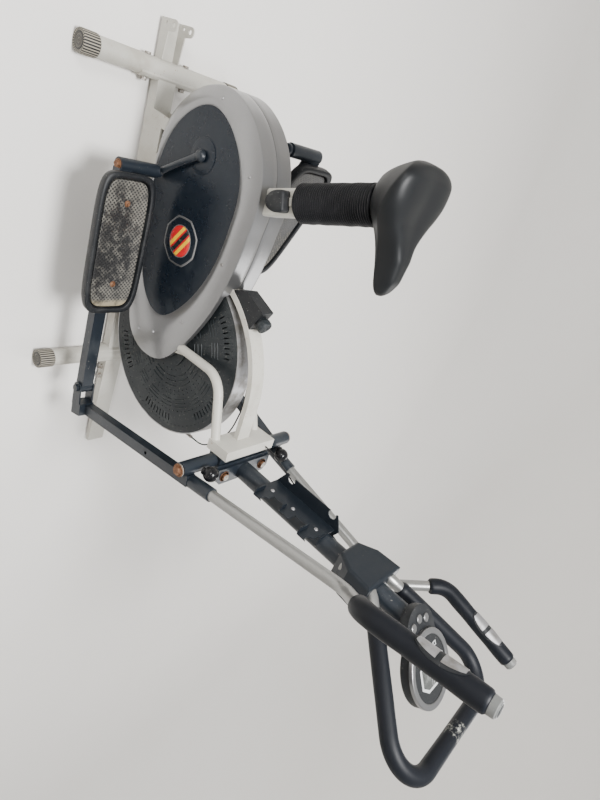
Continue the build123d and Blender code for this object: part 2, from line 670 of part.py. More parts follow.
def right_housing():
    """The right half shell of the drive housing, with its openings."""
    outline = side_face(*housing_outline())
    crown = offset(side_face(*panel_outline()), amount=15)
    outer = dome(outline, crown, HOUSING_FLANK, HOUSING_HALF)
    inner = dome(offset(outline, amount=-HOUSING_WALL), offset(crown, amount=-HOUSING_WALL),
                 HOUSING_FLANK - 1, HOUSING_HALF - HOUSING_WALL)
    shell = outer - inner
    shell -= across(side_face(*panel_outline()), -HOUSING_HALF - 1, -HOUSING_HALF + 2)
    shell -= box(-200, 900, -0.15, 1, 0, 700)
    shell -= disc(WHEEL_X, WHEEL_Z, WHEEL_R + 7, -35, 10)
    shell -= disc(CRANK_X, CRANK_Z, 22, -90, 0)
    shell -= on_seat_axis(Box(SEAT_TUBE + 1, SEAT_TUBE + 1, 1600))
    shell -= box(85, 255, -RAIL_HALF - 1, 1, 40, 145)
    shell -= box(270, 400, -SEAT_TUBE / 2 - 1, 1, 40, 145)
    shell -= box(395, 520, -25, 1, 400, 520)
    fork_run = Vector(*FORK_CORNER) - Vector(*FORK_LOW)
    shell -= rod(tuple(Vector(*FORK_LOW) - fork_run * 0.2), FORK_CORNER, 13.5)
    shell -= box(620, 667, -46.6, -40.9, 322, 412)
    return shell


def right_panel():
    """The dark side panel in the housing's recess."""
    panel = across(offset(side_face(*panel_outline()), amount=-0.4), -HOUSING_HALF + 1, -HOUSING_HALF + 2)
    return panel - disc(CRANK_X, CRANK_Z, 22, -90, 0)


# ---- swing arms, in a frame whose origin is the arm axle and whose foot is straight below -----------------------
ARM_TOP = (32.0, 0.0)
ARM_FOOT = (62.0, -440.0)
HANDLE_FOOT = (33.5, -166.5, 28.0)
BALL_CENTRE = (0.0, -142.0, 50.0)
HANDLE_BEND = (-20.0, -192.0, 505.0)
GRIP_BEND = (-97.0, -299.0, 598.0)
HANDLE_TOP = (-119.0, -306.0, 840.0)


def place_arm(shape, side):
    """Turn a right-hand arm shape to its rest angle, on its own side."""
    angle = RIGHT_ARM_ANGLE if side < 0 else LEFT_ARM_ANGLE
    own = shape if side < 0 else left(shape)
    return Pos(PIVOT_X, 0, PIVOT_Z) * Rot(0, -angle, 0) * own


def on_handle(distance):
    """A point on the handle's straight lower run, measured up from its foot."""
    run = Vector(*HANDLE_BEND) - Vector(*HANDLE_FOOT)
    return tuple(Vector(*HANDLE_FOOT) + run.normalized() * distance)


def between(start, end, share):
    """The point at a share of the way from start to end."""
    return tuple(Vector(*start) + (Vector(*end) - Vector(*start)) * share)


def arm():
    """The welded swing arm: pivot barrel, square leg, foot clevis with its pin, and handle socket."""
    frame = disc(0, 0, BARREL_R, -BARREL_OUT, -BARREL_IN, 16.1)
    lean = degrees(atan2(ARM_FOOT[0] - ARM_TOP[0], ARM_TOP[1] - ARM_FOOT[1]))
    leg_length = hypot(ARM_FOOT[0] - ARM_TOP[0], ARM_TOP[1] - ARM_FOOT[1])
    leg = box(-15, 15, -13, 13, -leg_length - 14, 16) - box(-12.5, 12.5, -10.5, 10.5, -leg_length - 15, 10)
    leg -= rod((0, -20, -150), (0, 0, -150), 5)
    leg = Pos(ARM_TOP[0], -ARM_Y, 0) * Rot(0, -lean, 0) * leg
    frame += leg - disc(0, 0, BARREL_R - 1, -210, -80)
    web = across(polygon((44, -476), (86, -476), (80, -436), (44, -436)), -BAR_Y - 22, -BAR_Y + 22)
    for y in (-BAR_Y - 22, -BAR_Y + 18):
        cheek = polygon((-4, -478), (56, -478), (56, -442), (-4, -445))
        frame += across(cheek, y, y + 4) + disc(0, -ARM_LENGTH, 17, y, y + 4)
    frame += web - across(polygon((52, -490), (78, -490), (78, -450), (52, -450)), -BAR_Y - 14, -BAR_Y + 14)
    frame += disc(0, -ARM_LENGTH, 6, -BAR_Y - 22, -BAR_Y + 22)
    frame += disc(0, -ARM_LENGTH, 10, -BAR_Y - 29, -BAR_Y - 22)
    socket = rod(on_handle(-24), on_handle(65), 18) - rod(on_handle(0), on_handle(70), HANDLE_R + 0.05)
    return frame + (socket - disc(0, 0, BARREL_R - 1, -210, -80))


def arm_bushes():
    """The flanged bushes between the axle and the arm barrels."""
    bushes = []
    for low in (BARREL_IN - 2.0, BARREL_OUT - 15.0):
        bush = disc(PIVOT_X, PIVOT_Z, 16.0, -low - 15, -low, PIVOT_AXLE_R + 0.02)
        bushes += [bush, left(bush)]
    return bushes


def ball_knob():
    """The round locking knob behind the handle socket, with its threaded stem."""
    return Pos(*BALL_CENTRE) * Sphere(20) + rod(BALL_CENTRE, between(BALL_CENTRE, on_handle(22), 0.53), 6)


def handle_tube():
    """The silver handle tube, bent outwards and up again."""
    return tube_along([on_handle(0.1), HANDLE_BEND, GRIP_BEND, HANDLE_TOP], [70, 60], HANDLE_R, HANDLE_R - 2)


def grip():
    """The foam grip over the upper part of the handle."""
    start = between(HANDLE_BEND, GRIP_BEND, 0.78)
    top = between(GRIP_BEND, HANDLE_TOP, 0.96)
    return tube_along([start, GRIP_BEND, top], [60], GRIP_R, HANDLE_R + 0.1)


# ---- pedals, in a frame whose origin is the front pivot and whose bar runs straight back ------------------------
TRAY_BACK, TRAY_FRONT = -614.0, -249.0
TRAY_IN, TRAY_OUT = 97.0, 256.0
TRAY_LOW, TRAY_HIGH = 18.0, 44.0
TREAD_CUT = 44.0


def place_pedal(shape, side):
    """Turn a right-hand pedal shape to its rest tilt, at its arm's foot."""
    angle = RIGHT_ARM_ANGLE if side < 0 else LEFT_ARM_ANGLE
    tilt = RIGHT_BAR_TILT if side < 0 else LEFT_BAR_TILT
    foot_x = PIVOT_X + ARM_LENGTH * sin(radians(angle))
    foot_z = PIVOT_Z - ARM_LENGTH * cos(radians(angle))
    own = shape if side < 0 else left(shape)
    return Pos(foot_x, 0, foot_z) * Rot(0, -tilt, 0) * own


def pedal_bar():
    """The square bar with its front eye and rear barrel."""
    half = BAR_WIDTH / 2
    bar = box(-BAR_LENGTH + 8, -10, -BAR_Y - half, -BAR_Y + half, -BAR_HEIGHT / 2, BAR_HEIGHT / 2)
    bar += disc(0, 0, BAR_HEIGHT / 2, -BAR_Y - half, -BAR_Y + half)
    bar += disc(-BAR_LENGTH, 0, 17, -194, -82)
    bar -= disc(0, 0, 6.05, -220, -140)
    return bar


def plan_octagon(grow, cut):
    """The pedal's plan: a rectangle with cut corners, grown outwards by a margin."""
    x0, x1 = TRAY_BACK - grow, TRAY_FRONT + grow
    y0, y1 = -TRAY_OUT - grow, -TRAY_IN + grow
    return make_face(Polyline((x0 + cut, y0), (x1 - cut, y0), (x1, y0 + cut), (x1, y1 - cut / 2), (x1 - cut / 2, y1),
                              (x0 + cut / 2, y1), (x0, y1 - cut / 2), (x0, y0 + cut), close=True))


def foot_tray():
    """The dark plastic tray of one pedal."""
    tray = Pos(0, 0, TRAY_LOW) * extrude(plan_octagon(0, TREAD_CUT), amount=TRAY_HIGH - TRAY_LOW)
    tray = fillet(tray.edges().group_by(Axis.Z)[-1], 5)
    return tray - Pos(0, 0, TRAY_LOW + 6) * extrude(plan_octagon(-15, TREAD_CUT - 8), amount=40)


def tread():
    """The raised foot plate inside the tray."""
    plate = Pos(0, 0, TRAY_LOW + 6.1) * extrude(plan_octagon(-17, TREAD_CUT - 9), amount=13)
    plate = fillet(plate.edges().group_by(Axis.Z)[-1], 2)
    for x in (-540, -330):
        plate -= Pos(x, -BAR_Y, TRAY_LOW + 15) * Cylinder(9, 20)
    return plate


# ---- write every node --------------------------------------------------------------------------------------------
def save_base():
    save("main_rail", main_rail())
    save("rear_bracket", rear_bracket())
    save("front_extension", front_extension())
    save("rear_stabiliser", foot_tube(0))
    save("front_stabiliser", foot_tube(FRONT_FOOT_X))
    save("stabiliser_caps", *[end_cap(x, side) for x in (0, FRONT_FOOT_X) for side in (-1, 1)])
    save("frame_bolts", *frame_bolts())


def save_seat():
    save("seat_tube", seat_tube())
    save("seat_post", seat_post())
    save("bellows", bellows())
    save("saddle_base", saddle_base())
    save("saddle", saddle())
    save("seat_knob", seat_knob())


def save_front():
    save("upper_frame", upper_frame())
    save("pivot_beam", pivot_beam())
    save("pivot_axle", disc(PIVOT_X, PIVOT_Z, PIVOT_AXLE_R, -BARREL_OUT - 1, BARREL_OUT + 1))
    save("arm_bushes", *arm_bushes())
    save("post", post())
    save("holder_channel", holder_channel())
    save("holder_bracket", holder_bracket())
    save("post_covers", post_cover(True), post_cover(False))
    save("loop_tube", loop_tube())
    save("loop_foam", loop_foam())


def save_console():
    save("console_body", console_body())
    save("console_bezel", console_bezel())
    save("console_face", console_face())
    for name, (x, y) in CONSOLE_BUTTONS.items():
        save(name, button(x, y))


def save_drive():
    save("crank_axle", disc(CRANK_X, CRANK_Z, AXLE_R, -75, 75))
    near = crank_arm(CRANK_ANGLE)
    far = left(crank_arm(CRANK_ANGLE + 180))
    save("crank_arms", near, far)
    save("drive_pulley", drive_pulley())
    save("crank_bearings", *crank_bearings())
    save("drive_belt", drive_belt())
    save("wheel_hub", wheel_hub())
    save("flywheel_rim", flywheel_rim())
    save("wheel_covers", wheel_cover(), left(wheel_cover()))
    save("wheel_axle", disc(WHEEL_X, WHEEL_Z, 6, -50, 50))


def save_brake():
    save("brake_strap", brake_strap())
    save("tension_block", tension_block())
    save("tension_knob", tension_knob())
    for name, route, radius in (("tension_cable", CABLE_ROUTE, 2.0), ("sensor_wire", WIRE_ROUTE, 2.0)):
        radii = ease_radii(route)
        print(name, "radii", [round(r) for r in radii])
        save(name, tube_along(route, radii, radius))


def save_housing():
    save("right_housing", right_housing())
    save("left_housing", left(right_housing()))
    save("housing_panels", right_panel(), left(right_panel()))


def save_arms_and_pedals():
    for side, word in ((-1, "right"), (1, "left")):
        save(f"{word}_arm", place_arm(arm(), side))
        save(f"{word}_ball_knob", place_arm(ball_knob(), side))
        save(f"{word}_handle_tube", place_arm(handle_tube(), side))
        save(f"{word}_grip", place_arm(grip(), side))
        save(f"{word}_pedal_bar", place_pedal(pedal_bar(), side))
        save(f"{word}_foot_tray", place_pedal(foot_tray(), side))
        save(f"{word}_tread", place_pedal(tread(), side))


os.makedirs("parts", exist_ok=True)
save_base()
save_seat()
save_front()
save_console()
save_drive()
save_brake()
save_housing()
save_arms_and_pedals()
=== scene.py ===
# %% [markdown]
# An upright elliptical cross trainer with a saddle, dressed for its looks around its engineering model.
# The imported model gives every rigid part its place. Steel parts that already have the right shape only
# get a finish. Moulded covers, foam, the saddle, the bellows and the treads are made again here as
# smooth surfaces, because that is where a plain solid looks wrong.

import json
from math import cos, pi, radians, sin

import bmesh
import bpy
import numpy as np
from mathutils import Matrix, Vector


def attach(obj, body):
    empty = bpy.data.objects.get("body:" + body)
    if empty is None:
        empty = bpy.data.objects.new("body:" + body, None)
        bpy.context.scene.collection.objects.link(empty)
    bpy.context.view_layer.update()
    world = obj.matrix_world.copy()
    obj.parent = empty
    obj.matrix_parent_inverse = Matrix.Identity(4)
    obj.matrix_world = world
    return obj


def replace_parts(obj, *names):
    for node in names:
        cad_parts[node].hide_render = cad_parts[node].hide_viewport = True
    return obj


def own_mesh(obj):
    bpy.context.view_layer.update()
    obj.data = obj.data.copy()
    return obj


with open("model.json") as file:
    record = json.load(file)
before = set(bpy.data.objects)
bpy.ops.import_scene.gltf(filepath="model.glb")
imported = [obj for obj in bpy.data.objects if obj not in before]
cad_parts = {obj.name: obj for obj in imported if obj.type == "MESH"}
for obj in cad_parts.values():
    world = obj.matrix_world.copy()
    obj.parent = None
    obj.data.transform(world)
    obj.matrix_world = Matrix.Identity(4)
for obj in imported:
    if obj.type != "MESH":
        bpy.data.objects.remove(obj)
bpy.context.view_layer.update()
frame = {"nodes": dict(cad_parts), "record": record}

# %% [markdown]
# All sizes of new pieces are in millimetres, measured from the rear foot's axis, as on a workshop
# drawing. One function turns such points into metres in the model's frame. X runs to the handlebars,
# Y to the left side and Z up.

# %% Millimetres on the drawing to metres in the frame
MIDDLE_X = 523.0


def place(points):
    """Drawing point (x, y, z) in mm becomes ((x - middle), y, z) / 1000."""
    return (np.asarray(points, float) - [MIDDLE_X, 0, 0]) / 1000.0


def turned(points, origin, tilt):
    """Points in a part's own frame, turned by tilt degrees about Y so that +X tips up, then moved to origin."""
    points = np.asarray(points, float)
    c, s = cos(radians(tilt)), sin(radians(tilt))
    x = points[..., 0] * c - points[..., 2] * s
    z = points[..., 0] * s + points[..., 2] * c
    return np.stack([x, points[..., 1], z], -1) + np.asarray(origin, float)


# %% [markdown]
# The camera stands at the machine's right side, above handlebar height, and looks down at it. It is
# rolled so that the long machine runs corner to corner of a tall frame. The three angles are turned
# into a matrix whose columns are the camera's own axes.

# %% Camera
def camera_matrix(eye, yaw, pitch, roll):
    """Forward from yaw and pitch, then right and up turned about forward by roll, then a quarter turn."""
    forward = np.array([-sin(yaw) * cos(pitch), cos(yaw) * cos(pitch), -sin(pitch)])
    level = np.array([cos(yaw), sin(yaw), 0.0])
    upright = np.cross(level, forward)
    right = cos(roll) * level + sin(roll) * upright
    up = -sin(roll) * level + cos(roll) * upright
    matrix = np.eye(4)
    matrix[:3, :3] = np.stack([up, -right, -forward], 1)
    matrix[:3, 3] = eye
    return Matrix(matrix.tolist())


camera = bpy.data.objects.new("camera", bpy.data.cameras.new("camera"))
bpy.context.scene.collection.objects.link(camera)
EYE = (-0.5052, -1.0730, 1.4432)
YAW, PITCH, ROLL = radians(-27.98), radians(29.17), radians(34.02)
camera.matrix_world = camera_matrix(EYE, YAW, PITCH, ROLL)
camera.data.sensor_width = 36.0
camera.data.lens = 25.78
camera.data.clip_start = 0.02
bpy.context.scene.camera = camera
print("camera at", tuple(round(v, 3) for v in camera.location))


# %% [markdown]
# Shader maths reads best as plain sums. A Wire is one socket of a material, and adding or multiplying
# wires adds the Math nodes. A Paint is one material, and its node() makes any other node.

# %% A socket that can be calculated with
class Wire:
    """One output socket, with + - * and powers, abs() and sine(), which build Math nodes."""

    def __init__(self, paint, socket):
        self.paint = paint
        self.socket = socket

    def _math(self, operation, *terms):
        return self.paint.node("Math", {"operation": operation, "values": dict(enumerate(terms))})

    def __add__(self, other):
        return self._math("ADD", self, other)

    def __radd__(self, other):
        return self._math("ADD", other, self)

    def __sub__(self, other):
        return self._math("SUBTRACT", self, other)

    def __rsub__(self, other):
        return self._math("SUBTRACT", other, self)

    def __mul__(self, other):
        return self._math("MULTIPLY", self, other)

    def __rmul__(self, other):
        return self._math("MULTIPLY", other, self)

    def __pow__(self, other):
        return self._math("POWER", self, other)

    def __abs__(self):
        return self._math("ABSOLUTE", self)

    def sine(self):
        return self._math("SINE", self)


# %% A material that is written as expressions
class Paint:
    """One material around a Principled shader."""

    def __init__(self, name):
        self.material = bpy.data.materials.new(name)
        self.material.use_nodes = True
        self.nodes = self.material.node_tree.nodes
        self.links = self.material.node_tree.links
        self.shader = self.nodes["Principled BSDF"]
        self.spot = self.node("TexCoord", {}, output="Object")

    def feed(self, socket, value):
        if isinstance(value, Wire):
            self.links.new(value.socket, socket)
        elif isinstance(value, (tuple, list)) and len(value) == 3 and len(socket.default_value) == 4:
            socket.default_value = (*value, 1.0)
        else:
            socket.default_value = value

    def node(self, kind, settings, output=0):
        """Any node: its settings first, with a ramp's stops, and then the values of its sockets."""
        made = self.nodes.new("ShaderNode" + kind)
        values = settings.pop("values", {})
        stops = settings.pop("stops", None)
        for key, value in settings.items():
            setattr(made, key, value)
        if stops:
            ramp = made.color_ramp.elements
            while len(ramp) < len(stops):
                ramp.new(0.5)
            for element, (at, shade) in zip(ramp, stops):
                element.position = at
                element.color = (*shade, 1.0)
        for key, value in values.items():
            self.feed(made.inputs[key], value)
        return Wire(self, made.outputs[output])

    def noise(self, scale, detail=4.0, roughness=0.55, on=None):
        values = {"Vector": on or self.spot, "Scale": scale, "Detail": detail, "Roughness": roughness}
        return self.node("TexNoise", {"values": values})

    def cells(self, scale, on=None, randomness=1.0):
        values = {"Vector": on or self.spot, "Scale": scale, "Randomness": randomness}
        return self.node("TexVoronoi", {"values": values})

    def stretched(self, factors, turn=(0.0, 0.0, 0.0), on=None):
        values = {"Vector": on or self.spot, "Scale": factors, "Rotation": turn}
        return self.node("Mapping", {"values": values})

    def step(self, value, low, high):
        """0 below low, 1 above high and smooth between them."""
        values = {"Value": value, 1: low, 2: high}
        return self.node("MapRange", {"interpolation_type": "SMOOTHSTEP", "values": values})

    def mix(self, share, first, second):
        values = {0: share, 6: first, 7: second}
        return self.node("Mix", {"data_type": "RGBA", "values": values}, output=2)

    def axis(self, on=None):
        """The x, y and z of a position, as three wires."""
        split = self.node("SeparateXYZ", {"values": {0: on or self.spot}})
        return [Wire(self, out) for out in split.socket.node.outputs]

    def finish(self, base, roughness, bump=None, height=0.0003, strength=0.5, **constants):
        self.feed(self.shader.inputs["Base Color"], base)
        self.feed(self.shader.inputs["Roughness"], roughness)
        if bump is not None:
            values = {"Height": bump, "Distance": height, "Strength": strength}
            self.feed(self.shader.inputs["Normal"], self.node("Bump", {"values": values}))
        for key, value in constants.items():
            self.feed(self.shader.inputs[key.replace("_", " ")], value)
        return self.material


print("shader helpers ready")


# %% [markdown]
# Painted steel is never one colour. The cream frame has a fine orange peel from spraying, grey grime in
# broad patches and a few brown specks where rust has started. The dark paint is slate blue, with pale
# dust and scuffs that show the primer.

# %% Painted metal
def worn_paint(name, base, grime, speck, speck_share, roughness, metallic=0.0):
    p = Paint(name)
    patches = p.step(p.noise(9.0, 6.0, 0.65), 0.48, 0.74)
    dirty = p.mix(patches * 0.5, base, grime)
    fine = p.step(p.noise(160.0, 3.0, 0.7), 1.0 - speck_share, 1.06 - speck_share)
    colour = p.mix(fine * p.step(p.noise(14.0, 2.0), 0.4, 0.6), dirty, speck)
    gloss = p.noise(45.0, 5.0) * 0.16 + patches * 0.12 + (roughness - 0.1)
    peel = p.noise(420.0, 2.0) + p.step(p.noise(60.0, 4.0), 0.3, 0.7) * 0.8
    return p.finish(colour, gloss, peel, 0.00025, 0.35, Metallic=metallic, Specular_IOR_Level=0.35)


cream = worn_paint("cream_paint", (0.43, 0.418, 0.375), (0.26, 0.225, 0.18), (0.20, 0.09, 0.035), 0.36, 0.42)
slate = worn_paint("slate_paint", (0.009, 0.0125, 0.0175), (0.045, 0.05, 0.055), (0.16, 0.15, 0.14), 0.35, 0.38)
print("painted finishes:", cream.name, slate.name)


# %% [markdown]
# Bare metal differs in its grain. The handle tubes are silver and drawn along their length, the rusty
# bolts are rough and mottled from orange to near black, and the machined parts are smooth and grey.

# %% Bare metal
def drawn_silver(name):
    p = Paint(name)
    along = p.noise(90.0, 3.0, 0.6, p.stretched((6.0, 6.0, 0.25)))
    spots = p.step(p.noise(70.0, 4.0), 0.62, 0.75)
    colour = p.mix(along, (0.19, 0.19, 0.185), (0.30, 0.30, 0.29))
    colour = p.mix(spots * 0.5, colour, (0.24, 0.21, 0.18))
    return p.finish(colour, along * 0.2 + spots * 0.2 + 0.24, along, 0.0001, 0.3, Metallic=0.75)


def rusty(name):
    p = Paint(name)
    blotch = p.noise(140.0, 6.0, 0.7)
    stops = [
        (0.3, (0.03, 0.018, 0.012)), (0.5, (0.15, 0.062, 0.026)),
        (0.66, (0.23, 0.135, 0.08)), (0.8, (0.26, 0.24, 0.22)),
    ]
    colour = p.node("ValToRGB", {"stops": stops, "values": {0: blotch}})
    return p.finish(colour, blotch * 0.4 + 0.45, p.noise(600.0, 4.0) + blotch, 0.0004, 0.6, Metallic=0.45)


def machined(name):
    p = Paint(name)
    film = p.noise(30.0, 5.0, 0.6)
    colour = p.mix(p.step(film, 0.4, 0.7), (0.34, 0.34, 0.35), (0.20, 0.19, 0.18))
    return p.finish(colour, film * 0.3 + 0.28, p.noise(500.0, 2.0), 0.0001, 0.3, Metallic=0.85)


def weathered(name):
    p = Paint(name)
    blotch = p.step(p.noise(160.0, 5.0, 0.7), 0.42, 0.68)
    colour = p.mix(blotch, (0.30, 0.29, 0.265), (0.10, 0.055, 0.03))
    return p.finish(colour, blotch * 0.3 + 0.4, p.noise(500.0, 3.0), 0.0003, 0.4, Metallic=0.4)


old_bolt = weathered("weathered_bolt")
silver_tube = drawn_silver("drawn_silver")
rust = rusty("rusty_steel")
steel = machined("machined_steel")
print("bare metal finishes:", silver_tube.name, rust.name, steel.name)


# %% [markdown]
# Plastics: the covers are moulded in grey with a metallic silver lacquer, their panels in near-black
# navy with a soft gloss, and the rest in plain black. All have picked up pale dust, and black plastic
# shows it most, as cloudy patches with small crumbs on top.

# %% Moulded plastic
def silver_lacquer(name):
    p = Paint(name)
    flake = p.noise(900.0, 2.0, 0.6)
    grime = p.step(p.noise(7.0, 6.0, 0.65), 0.5, 0.8)
    colour = p.mix(flake, (0.20, 0.20, 0.203), (0.265, 0.265, 0.268))
    colour = p.mix(grime * 0.3, colour, (0.16, 0.155, 0.148))
    rubbed = p.noise(24.0, 5.0, 0.6)
    return p.finish(colour, rubbed * 0.06 + 0.27, flake, 0.00006, 0.15, Metallic=0.85, Coat_Weight=0.1)


def black_moulding(name, base, dust, dust_share, roughness, grain=500.0, crumb=1.0):
    p = Paint(name)
    cloud = p.step(p.noise(16.0, 6.0, 0.7), 0.46, 0.76)
    crumbs = p.step(p.noise(260.0, 3.0, 0.75), 0.66, 0.72) * crumb
    colour = p.mix(cloud * dust_share, base, dust)
    colour = p.mix(crumbs * (dust_share + 0.12), colour, (0.42, 0.40, 0.36))
    gloss = cloud * 0.2 + p.noise(50.0, 4.0) * 0.12 + (roughness - 0.06)
    return p.finish(colour, gloss, p.noise(grain, 2.0) + crumbs * 0.5, 0.0002, 0.3, Specular_IOR_Level=0.25)


lacquer = silver_lacquer("silver_lacquer")
navy = black_moulding("navy_panel", (0.003, 0.0065, 0.012), (0.02, 0.026, 0.032), 0.3, 0.28, 300.0, 0.25)
black = black_moulding("black_moulding", (0.007, 0.008, 0.0095), (0.045, 0.045, 0.045), 0.4, 0.46)
dusty = black_moulding("dusty_cover", (0.009, 0.012, 0.014), (0.05, 0.054, 0.055), 0.6, 0.42)
smooth_black = black_moulding("smooth_black", (0.006, 0.0085, 0.012), (0.03, 0.034, 0.038), 0.12, 0.4, 500.0, 0.4)
knob_gloss = black_moulding("knob_gloss", (0.006, 0.006, 0.007), (0.05, 0.05, 0.05), 0.15, 0.16)
window = black_moulding("display_window", (0.012, 0.013, 0.014), (0.03, 0.03, 0.03), 0.2, 0.16)
print("plastic finishes:", lacquer.name, navy.name, black.name, dusty.name)


# %% [markdown]
# Soft finishes: closed-cell foam on the grips, smooth charcoal vinyl on the saddle, ribbed rubber on the
# bellows, felt on the brake strap and a tough skin on the cables.

# %% Foam, vinyl, rubber and felt
FOAM_COLOURS = ((0.0045, 0.0055, 0.008), (0.013, 0.0155, 0.0195))
TEAR_X, TEAR_Y = 0.540, 0.005


def foam_skin(name):
    p = Paint(name)
    pores = p.cells(900.0)
    rub = p.step(p.noise(22.0, 5.0, 0.7), 0.55, 0.8)
    colour = p.mix(rub * 0.6, *FOAM_COLOURS)
    return p.finish(colour, rub * 0.12 + 0.46, pores + p.noise(120.0, 3.0), 0.00025, 0.35, Specular_IOR_Level=0.16)


def torn_foam(name):
    """Foam skin with one torn patch on the front bar, where crumbled pale foam shows."""
    p = Paint(name)
    x, y, _ = p.axis()
    near = (x - TEAR_X) * (x - TEAR_X) * 2.0 + (y - TEAR_Y) * (y - TEAR_Y)
    inside = 1.0 - p.step(near, 0.0005, 0.0022)
    ragged = p.step(p.noise(95.0, 6.0, 0.8) + inside * 0.4, 0.90, 1.04) * inside
    rub = p.step(p.noise(22.0, 5.0, 0.7), 0.55, 0.8)
    colour = p.mix(rub * 0.6, *FOAM_COLOURS)
    colour = p.mix(ragged, colour, (0.30, 0.30, 0.27))
    bump = p.cells(900.0) + p.noise(120.0, 3.0) - ragged * 6.0
    return p.finish(colour, rub * 0.12 + ragged * 0.3 + 0.46, bump, 0.0003, 0.4, Specular_IOR_Level=0.16)


def vinyl(name):
    p = Paint(name)
    grain = p.cells(520.0)
    _, y, _ = p.axis()
    crease = (1.0 - p.step(y * y, 0.0, 0.0000016)) * 0.5
    rub = p.step(p.noise(11.0, 5.0, 0.6), 0.5, 0.8)
    colour = p.mix(rub * 0.6, (0.0045, 0.0052, 0.006), (0.0095, 0.0105, 0.0115))
    return p.finish(colour, rub * 0.1 + 0.46, grain * 0.4 - crease, 0.0003, 0.35, Specular_IOR_Level=0.22)


def dust_and_highlight_rubber(name):
    """Black rubber whose upper rib edges are paler, partly from dust and partly as a painted highlight: the share
    follows the ribs' own coordinate.
    """
    p = Paint(name)
    uv = p.node("TexCoord", {}, output="UV")
    _, along, _ = p.axis(uv)
    # The pale rib edges are dust and a painted highlight together, on every rib.
    crest = p.step((along * (2 * pi)).sine(), 0.45, 1.0) * (p.step(p.noise(40.0, 4.0, 0.7), 0.35, 0.65) * 0.7 + 0.15)
    colour = p.mix(crest, (0.0045, 0.005, 0.0065), (0.10, 0.10, 0.105))
    return p.finish(colour, crest * 0.2 + 0.5, p.noise(300.0, 3.0), 0.0002, 0.4, Specular_IOR_Level=0.2)


def felt(name):
    p = Paint(name)
    fibre = p.noise(700.0, 5.0, 0.8)
    colour = p.mix(fibre, (0.02, 0.02, 0.02), (0.08, 0.078, 0.074))
    return p.finish(colour, fibre * 0.1 + 0.85, fibre, 0.0005, 0.7, Sheen_Weight=0.3)


foam = foam_skin("grip_foam")
loop_foam_skin = torn_foam("loop_foam_skin")
saddle_vinyl = vinyl("saddle_vinyl")
bellows_rubber = dust_and_highlight_rubber("bellows_rubber")
strap = felt("strap_felt")
cable = black_moulding("cable_skin", (0.008, 0.008, 0.009), (0.05, 0.05, 0.05), 0.2, 0.35)
print("soft finishes:", foam.name, saddle_vinyl.name, bellows_rubber.name)


# %% [markdown]
# The treads are pale grey rubber with rows of small dark holes. Shoes have blackened them in the middle,
# and the front end keeps a yellowed band. The pattern is worked out in the pedal's own direction, so the
# coordinates are first turned by the pedal's tilt.

# %% Tread rubber
HOLE_PITCH = 0.0105


def tread(name, tilt, pivot, worn_heel=0.0):
    """pivot is the pedal's front pin in metres, from which the worn places are measured."""
    p = Paint(name)
    flat = p.stretched((1.0, 1.0, 1.0), (0.0, radians(tilt), 0.0))
    pin = pivot[0] * cos(radians(tilt)) + pivot[1] * sin(radians(tilt))
    turns = 2 * pi / HOLE_PITCH
    x, y, _ = p.axis(flat)
    holes = p.step((x * turns).sine() * (y * turns).sine(), 0.12, 0.34)
    wear = p.step(p.noise(17.0, 8.0, 0.78) + p.noise(70.0, 5.0, 0.7) * 0.5, 0.62, 0.92)
    grime = p.step(p.noise(24.0, 6.0, 0.7), 0.35, 0.7)
    colour = p.mix(grime, (0.125, 0.118, 0.10), (0.06, 0.057, 0.05))
    front = p.step(x, pin - 0.290, pin - 0.276)
    colour = p.mix(front * 0.7, colour, (0.26, 0.215, 0.13))
    holes = holes * (1.0 - front)
    colour = p.mix(holes, colour, (0.008, 0.008, 0.008))
    from_middle = (x - (pin - 0.43)) ** 2.0 * 40.0 + (abs(y) - 0.195) ** 2.0 * 160.0
    middle = 1.0 - p.step(from_middle, 0.1, 1.0)
    heel = (1.0 - p.step(x, pin - 0.50, pin - 0.46)) * worn_heel
    wear = p.step(wear * 0.6 + heel + middle * 0.9 * p.noise(48.0, 7.0, 0.75), 0.22, 0.8)
    colour = p.mix(wear * 0.93, colour, (0.008, 0.008, 0.009))
    return p.finish(colour, wear * -0.2 + 0.62, 0.0 - holes - wear * 0.3, 0.0012, 0.7)


RIGHT_TILT, LEFT_TILT = -0.32, -22.5
tread_right = tread("tread_rubber_right", RIGHT_TILT, (0.32698, 0.17002))
tread_left = tread("tread_rubber_left", LEFT_TILT, (0.12497, 0.20606), 0.6)
print("tread finishes:", tread_right.name, tread_left.name)

# %% [markdown]
# The steel parts, shafts, plates and cables keep their engineering shape. Each only trades its grey
# default for the finish of its slot, and a few nodes get their own.

# %% Finishes for the parts that stay
FINISH_OF_SLOT = {
    "frame_paint": cream, "dark_paint": slate, "handle_steel": silver_tube, "rust_steel": rust,
    "machined_steel": steel, "silver_plastic": lacquer, "navy_plastic": navy, "black_plastic": black,
    "dusty_plastic": dusty, "tread_plastic": tread_right, "foam": foam, "saddle_cover": saddle_vinyl,
    "boot_rubber": bellows_rubber, "belt_rubber": black, "strap_felt": strap, "cable_black": cable,
    "window": window, "key_plastic": lacquer,
}
OWN_FINISH = {
    "left_tread": tread_left, "pivot_axle": rust, "frame_bolts": old_bolt, "post_covers": smooth_black,
    "holder_bracket": smooth_black, "holder_channel": smooth_black,
}
for part in frame["record"]["subparts"]:
    node = frame["nodes"][part["node"]]
    node.data.materials.clear()
    node.data.materials.append(OWN_FINISH.get(part["node"], FINISH_OF_SLOT[part["material_slot"]]))
print("finished", len(frame["nodes"]), "engineering parts")


# %% [markdown]
# Every new piece is a grid of points that numpy works out at once. One function turns the grid into a
# mesh: it joins the seams, closes the ends, points the faces outwards and gives it a finish and a body.

